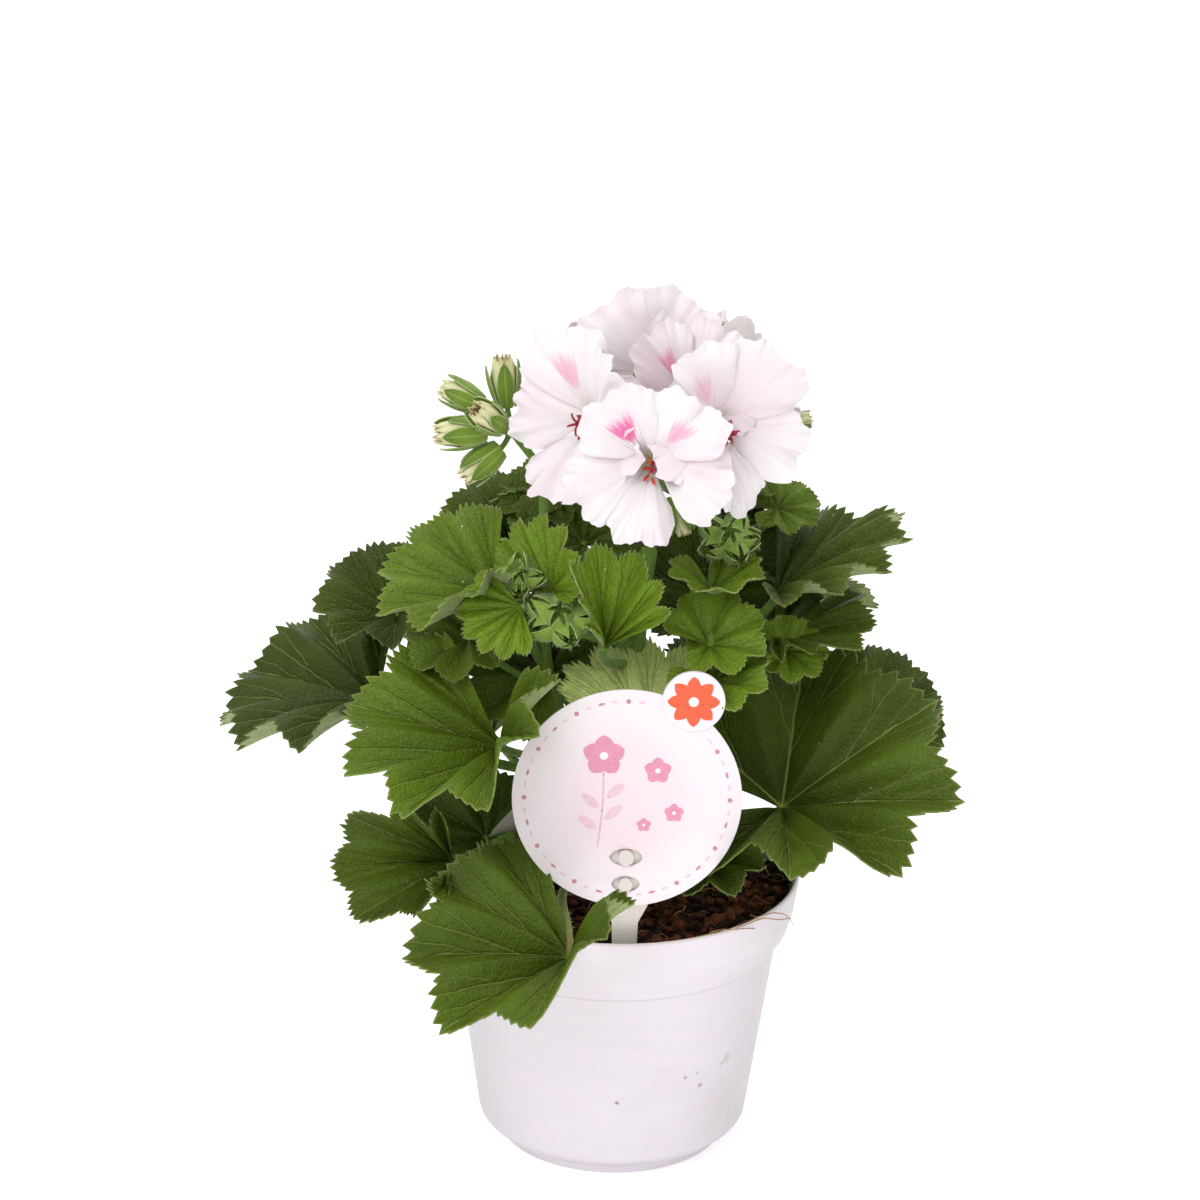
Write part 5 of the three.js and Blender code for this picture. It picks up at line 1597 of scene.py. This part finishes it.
def stamens(flower, materials, rng):
    """Pale filaments with coloured anthers round a crimson style with five curled arms."""
    filament, anther, style = materials
    x, y, n = facing(flower["face"], flower["up"], flower["roll"])
    base = np.array(flower["at"], float) - n * 0.5
    parts, spots, aims = [], [], []
    for k in range(7):
        turn = 2 * math.pi * k / 7 + rng.uniform(-0.3, 0.3)
        side = spoke(x, y, turn)
        length = rng.uniform(8.6, 12.0)
        tip = base + n * length + side * rng.uniform(1.8, 4.2) + x * 2.4
        middle = base + n * 0.55 * length + side * 0.9 + x * 0.5
        parts.append(tube("filament", [base + side * 0.4, middle, tip], [0.30, 0.26, 0.20],
                          filament, 0))
        spots.append(tip)
        aims.append(unit(side + 0.5 * n + np.array([rng.uniform(-0.6, 0.6) for _ in range(3)])))
    template = added(bpy.ops.mesh.primitive_uv_sphere_add, "anther", segments=10, ring_count=8,
                     radius=1)
    placements = aimed(spots, aims, [0.55] * 7, [1.35] * 7)
    parts.append(copies("anthers", template, placements, anther))
    spread = 0.35 if flower["fresh"] else 1.0
    top = base + n * (8.4 + 4.4 * spread) + x * 1.6
    parts.append(tube("style", [base, base + n * 5.5 + x * 0.4, top], [0.4, 0.36, 0.34], style,
                      1))
    for k in range(5):
        turn = 2 * math.pi * (k + 0.3) / 5
        side = spoke(x, y, turn) * spread
        arm = [top, top + n * 1.5 + side * 0.8, top + n * 2.1 + side * 2.5,
               top + n * 1.4 + side * 3.8]
        parts.append(tube("style_arm", arm, [0.42, 0.42, 0.38, 0.26], style, 1))
    return parts


def sepal_edge(wide, v):
    """Angle from a sepal's middle line to its edge, at v along it."""
    return math.radians(wide) * (1 - v**1.7) ** SEPAL_TAPER * (0.72 + 0.5 * v)


def sepal_swell(radius, v):
    """Distance of a closed sepal from the axis, at v along it."""
    return radius * (0.45 + 0.75 * np.sin(np.pi * (0.12 + 0.60 * v)))


def sepal(name, base, tip, turn, wide, reach, flare, radius, rows, material):
    """A pointed sepal that hugs a bud or calyx and leans out at its tip."""
    *axes, length = axis_of(base, tip)

    def place(s, v):
        angle = turn + s * (sepal_edge(wide, v) + 0.02)
        away = sepal_swell(radius, v) + 0.45 + flare * v**2 * radius - 0.1 * (1 - s**2)
        return about_axis(base, axes, away, angle, length * reach * v)

    return wrapped(name, 8, rows, place, [material], 0.0004)


class GERANIUM_OT_flowers(bpy.types.Operator):
    """Model the open flowers: five ruffled petals, stamens, style and calyx"""

    bl_idname = "geranium.flowers"
    bl_label = "Flowers"

    def execute(self, context):
        settings = context.scene.geranium_flower
        bud = context.scene.geranium_bud
        green = sepal_skin("sepal_skin", bud.sepal, bud.sepal_tip)
        skin = petal_skin(settings)
        filament = spotted("filament", srgb(228, 196, 206), srgb(240, 224, 226), 700.0)
        anthers = [
            spotted(name, colour, darker(colour, 0.6), 1400.0,
                    rough=(0.5, 0.7), relief=0.6)
            for name, colour in (("anther_ripe", settings.style),
                                 ("anther_fresh", settings.anther))]
        style = spotted("style", settings.style, darker(settings.style, 0.6),
                        900.0, rough=(0.4, 0.6))
        for number, flower in enumerate(FLOWERS):
            rng = random.Random(300 + number)
            parts = []
            for petal in PETALS:
                look = {
                    "phases": [rng.uniform(0, 2 * math.pi) for _ in range(6)],
                    "lean": rng.uniform(-5, 5),
                    "stretch": rng.uniform(1.0, 1.08) * (
                        1.0 if petal["mark"] is None else flower.get("tall", UPPER_STRETCH)),
                    "roll": rng.uniform(0.4, 2.0),
                    "cup": rng.uniform(-0.03, 0.07),
                }
                made = wrapped(
                    flower["name"] + "_petal", 44, 34,
                    lambda s, v: petal_points(flower, petal, look, s, v, settings.ruffle / MM),
                    [skin], settings.thickness)
                mark = 0 if petal["mark"] is None else flower["marks"][petal["mark"]]
                marked_all(made, "marked", mark)
                parts.append(made)
            parts += stamens(flower, (filament, anthers[flower["fresh"]], style), rng)
            foot, n = calyx_foot(flower)
            for k in range(5):
                parts.append(sepal("calyx", foot, foot + n * 9, 2 * math.pi * k / 5, 36, 1.0,
                                   0.9, 2.0, 8, green))
            carried(joined(flower["name"] + "_bloom", parts), "petal", flower["name"])
        return {"FINISHED"}


# Buds


def rolled_petal(base, tip, turn, radius, material, phase):
    """One petal of a closed bud, wound so that an edge lies under the next petal."""
    *axes, length = axis_of(base, tip)

    def place(s, v):
        angle = turn + s * math.radians(64) + 0.5 * v
        swell = np.sin(np.pi * np.clip(0.16 + 0.64 * v, 0, 1)) ** 0.8
        away = radius * swell * (0.86 + 0.14 * s) + 0.28 * np.sin(5 * s + phase) * v**3
        away = away + radius * 0.07 * np.sin(13 * s + phase) * v**2 + 0.35 * s * v**8
        height = length * v * (1 - 0.12 * s**2 + 0.05 * np.sin(9 * s + phase)
                               + 0.035 * np.sin(23 * s + 2 * phase) * v**6)
        return about_axis(base, axes, away, angle, height)

    return wrapped("bud_petal", 24, 16, place, [material], 0.0003)


def bud_parts(bud, petals, sepals, hair, rng, hair_length, sepal_reach=0.90, wide=42,
              flare=(-0.05, 0.30), core=1.0):
    """A bud about to open: five rolled petals held in five sepals with hairs on their edges."""
    base, tip = np.array(bud["base"], float), np.array(bud["tip"], float)
    x, y, z, length = axis_of(base, tip)
    parts = []
    for k in range(5):
        turn = 2 * math.pi * k / 5 + rng.uniform(-0.1, 0.1)
        parts.append(rolled_petal(base, base + core * (tip - base), turn, core * bud["radius"],
                                  petals, rng.uniform(0, 6)))
    radius = bud["radius"] * 0.95
    roots, aims = [], []
    for k in range(5):
        turn = 2 * math.pi * (k + 0.5) / 5 + rng.uniform(-0.12, 0.12)
        reach = sepal_reach * rng.uniform(0.85, 1.12)
        lean = rng.uniform(*flare)
        parts.append(sepal("bud_sepal", base, tip, turn, wide, reach, lean, radius, 12, sepals))
        for _ in range(26):
            v = rng.uniform(0.05, 0.9)
            edge = sepal_edge(wide, v) * rng.choice((-1, 1)) * rng.uniform(0.5, 1.0)
            out = spoke(x, y, turn + edge)
            away = sepal_swell(radius, v) + 0.5 + lean * v**2 * radius
            roots.append(base + z * length * reach * v + out * away)
            aims.append(out + 0.4 * spoke(x, y, turn) + z * rng.uniform(-0.1, 0.7))
    parts.append(bristles("bud_hairs", roots, aims, rng, hair_length, hair))
    return parts


class GERANIUM_OT_cream_buds(bpy.types.Operator):
    """Model the cream buds beside the head and on it"""

    bl_idname = "geranium.cream_buds"
    bl_label = "Cream Buds"

    def execute(self, context):
        settings = context.scene.geranium_bud
        hair_length = context.scene.geranium_stem.hair_length / MM
        petals, sepals = bud_skin(settings), bpy.data.materials["sepal_skin"]
        hair = bpy.data.materials["hair_coat"]
        for number, bud in enumerate(CREAM_BUDS + HEAD_BUDS):
            rng = random.Random(500 + number)
            parts = bud_parts(bud, petals, sepals, hair, rng, hair_length)
            carried(joined(bud["name"] + "_whorl", parts), "cream_bud", bud["name"])
        return {"FINISHED"}


class GERANIUM_OT_green_buds(bpy.types.Operator):
    """Model the young green bud clusters: pointed hairy buds on a short stalk"""

    bl_idname = "geranium.green_buds"
    bl_label = "Green Bud Clusters"

    def execute(self, context):
        hair_length = context.scene.geranium_stem.hair_length / MM
        skin, hair = bpy.data.materials["stem_skin"], bpy.data.materials["hair_coat"]
        young = sepal_skin("young_sepal", srgb(160, 188, 84), srgb(138, 170, 66))
        core = spotted("green_bud_core", srgb(150, 174, 84), srgb(112, 142, 52), 500.0,
                       Specular_IOR_Level=0.3)
        for number, cluster in enumerate(GREEN_CLUSTERS):
            rng = random.Random(700 + number)
            start, centre = shoot_point(*cluster["origin"]), np.array(cluster["at"], float)
            middle = (start + centre) / 2 - np.array((0, 0, 2))
            points = points_along(curve_point, [start, middle, centre], 6)
            parts = list(limb("cluster_stalk", points, [1.2] * 7, skin, hair, 60, rng,
                              hair_length))
            count, length, radius = cluster["count"], cluster["length"], cluster["radius"]
            for k in range(count):
                around = 2 * math.pi * k / (count - 1)
                flat = 0 if k == count - 1 else 0.9
                along = unit(np.array((flat * math.cos(around),
                                       -0.55 + 0.45 * flat * math.sin(around),
                                       0.45 + 0.6 * flat * math.sin(around))))
                bud = {"base": centre + along * 0.12 * length, "tip": centre + along * length,
                       "radius": 1.25 * radius}
                parts += bud_parts(bud, core, young, hair, rng, hair_length * 1.3, 1.12, 45,
                                   (-0.84, -0.62), 0.80)
            carried(joined(cluster["name"] + "_whorl", parts), "green_bud", cluster["name"])
        return {"FINISHED"}


# Stage, panel and run


def soft_light(name, power, size, location):
    light = added(bpy.ops.object.light_add, name, type="AREA", location=location)
    light.data.energy = power
    light.data.size = size
    aim = Vector(LIGHT_AIM) - Vector(location)
    light.rotation_euler = aim.to_track_quat("-Z", "Y").to_euler()


def paper_sweep(stage):
    """A floor whose back edge curves up into a wall."""
    floor = added(bpy.ops.mesh.primitive_plane_add, "sweep", size=2)
    floor.data.transform(Matrix.Diagonal((*SWEEP_HALF, 1, 1)))
    bpy.ops.object.mode_set(mode="EDIT")
    bpy.ops.mesh.select_all(action="DESELECT")
    bpy.ops.object.mode_set(mode="OBJECT")
    for edge in floor.data.edges:
        edge.select = all(floor.data.vertices[k].co.y > 0 for k in edge.vertices)
    bpy.ops.object.mode_set(mode="EDIT")
    bpy.ops.mesh.select_mode(type="EDGE")
    for k in range(1, 9):
        lean = math.radians(10 * k)
        step = (0, SWEEP_STEP * math.cos(lean), SWEEP_STEP * math.sin(lean))
        bpy.ops.mesh.extrude_region_move(TRANSFORM_OT_translate={"value": step})
    bpy.ops.mesh.extrude_region_move(TRANSFORM_OT_translate={"value": (0, 0, SWEEP_WALL)})
    bpy.ops.object.mode_set(mode="OBJECT")
    smoothed(floor, 60)
    sh = Shader("sweep_paper", Specular_IOR_Level=0.1, Emission_Color=(1, 1, 1, 1),
                Emission_Strength=stage.glow)
    fibre = sh.noise(sh.place(), 60.0)
    tint = sh.mix(fibre, stage.floor, darker(stage.floor, 0.985))
    floor.data.materials.append(sh.finish(tint, sh.fade(fibre, 0.3, 0.7, 0.8, 0.9)))
    return floor


def studio_camera(stage):
    down = Vector((0, math.cos(stage.elevation), -math.sin(stage.elevation)))
    camera = added(bpy.ops.object.camera_add, "studio_camera",
                   location=Vector(CAMERA_AIM) - down * stage.distance)
    turn = down.to_track_quat("-Z", "Y").to_matrix() @ Matrix.Rotation(stage.roll, 3, "Z")
    camera.rotation_euler = turn.to_euler()
    camera.data.lens = stage.lens
    camera.data.sensor_width = 36
    camera.data.clip_start = 0.05
    return camera


class GERANIUM_OT_stage(bpy.types.Operator):
    """Add the pale sweep, the soft studio lights and the camera"""

    bl_idname = "geranium.stage"
    bl_label = "Stage"

    def execute(self, context):
        stage = context.scene.geranium_stage
        floor = paper_sweep(stage)
        soft_light("key_light", stage.key_power, 0.9, (-0.55, -1.0, 1.15))
        soft_light("fill_light", stage.fill_power, 0.9, (1.0, -0.8, 0.6))
        soft_light("top_light", stage.top_power, 1.0, (0.15, 0.25, 1.5))

        world = bpy.data.worlds.new("studio_air")
        world.use_nodes = True
        background = world.node_tree.nodes["Background"]
        background.inputs["Color"].default_value = (1, 1, 1, 1)
        background.inputs["Strength"].default_value = stage.air
        context.scene.world = world
        context.scene.view_settings.view_transform = "Standard"
        context.scene.camera = studio_camera(stage)
        return {"FINISHED"}


class GERANIUM_PT_panel(bpy.types.Panel):
    bl_label = "Potted Regal Geranium"
    bl_idname = "GERANIUM_PT_panel"
    bl_space_type = "VIEW_3D"
    bl_region_type = "UI"
    bl_category = "Geranium"

    def draw(self, context):
        for label, _, operators in PIECES:
            box = self.layout.box()
            settings = getattr(context.scene, "geranium_" + label)
            for operator in operators:
                box.operator(operator.bl_idname)
            for name in settings.__annotations__:
                box.prop(settings, name)


# Settings, and the operators that read them, in the order they run
PIECES = [
    ("pot", PotSettings, [GERANIUM_OT_pot]),
    ("compost", CompostSettings, [GERANIUM_OT_compost]),
    ("label", LabelSettings, [GERANIUM_OT_label, GERANIUM_OT_stake]),
    ("stem", StemSettings, [GERANIUM_OT_stems]),
    ("leaf", LeafSettings, [GERANIUM_OT_leaves]),
    ("flower", FlowerSettings, [GERANIUM_OT_flowers]),
    ("bud", BudSettings, [GERANIUM_OT_cream_buds, GERANIUM_OT_green_buds]),
    ("stage", StageSettings, [GERANIUM_OT_stage]),
]


def register():
    for label, group, operators in PIECES:
        bpy.utils.register_class(group)
        setattr(bpy.types.Scene, "geranium_" + label, bpy.props.PointerProperty(type=group))
        for operator in operators:
            bpy.utils.register_class(operator)
    bpy.utils.register_class(GERANIUM_PT_panel)


def unregister():
    bpy.utils.unregister_class(GERANIUM_PT_panel)
    for label, group, operators in reversed(PIECES):
        for operator in reversed(operators):
            bpy.utils.unregister_class(operator)
        delattr(bpy.types.Scene, "geranium_" + label)
        bpy.utils.unregister_class(group)


def main():
    """Builds every piece around the frame, then the stage."""
    register()
    for _, _, operators in PIECES:
        for operator in operators:
            family, action = operator.bl_idname.split(".")
            getattr(getattr(bpy.ops, family), action)()
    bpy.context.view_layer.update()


if __name__ == "__main__":
    main()
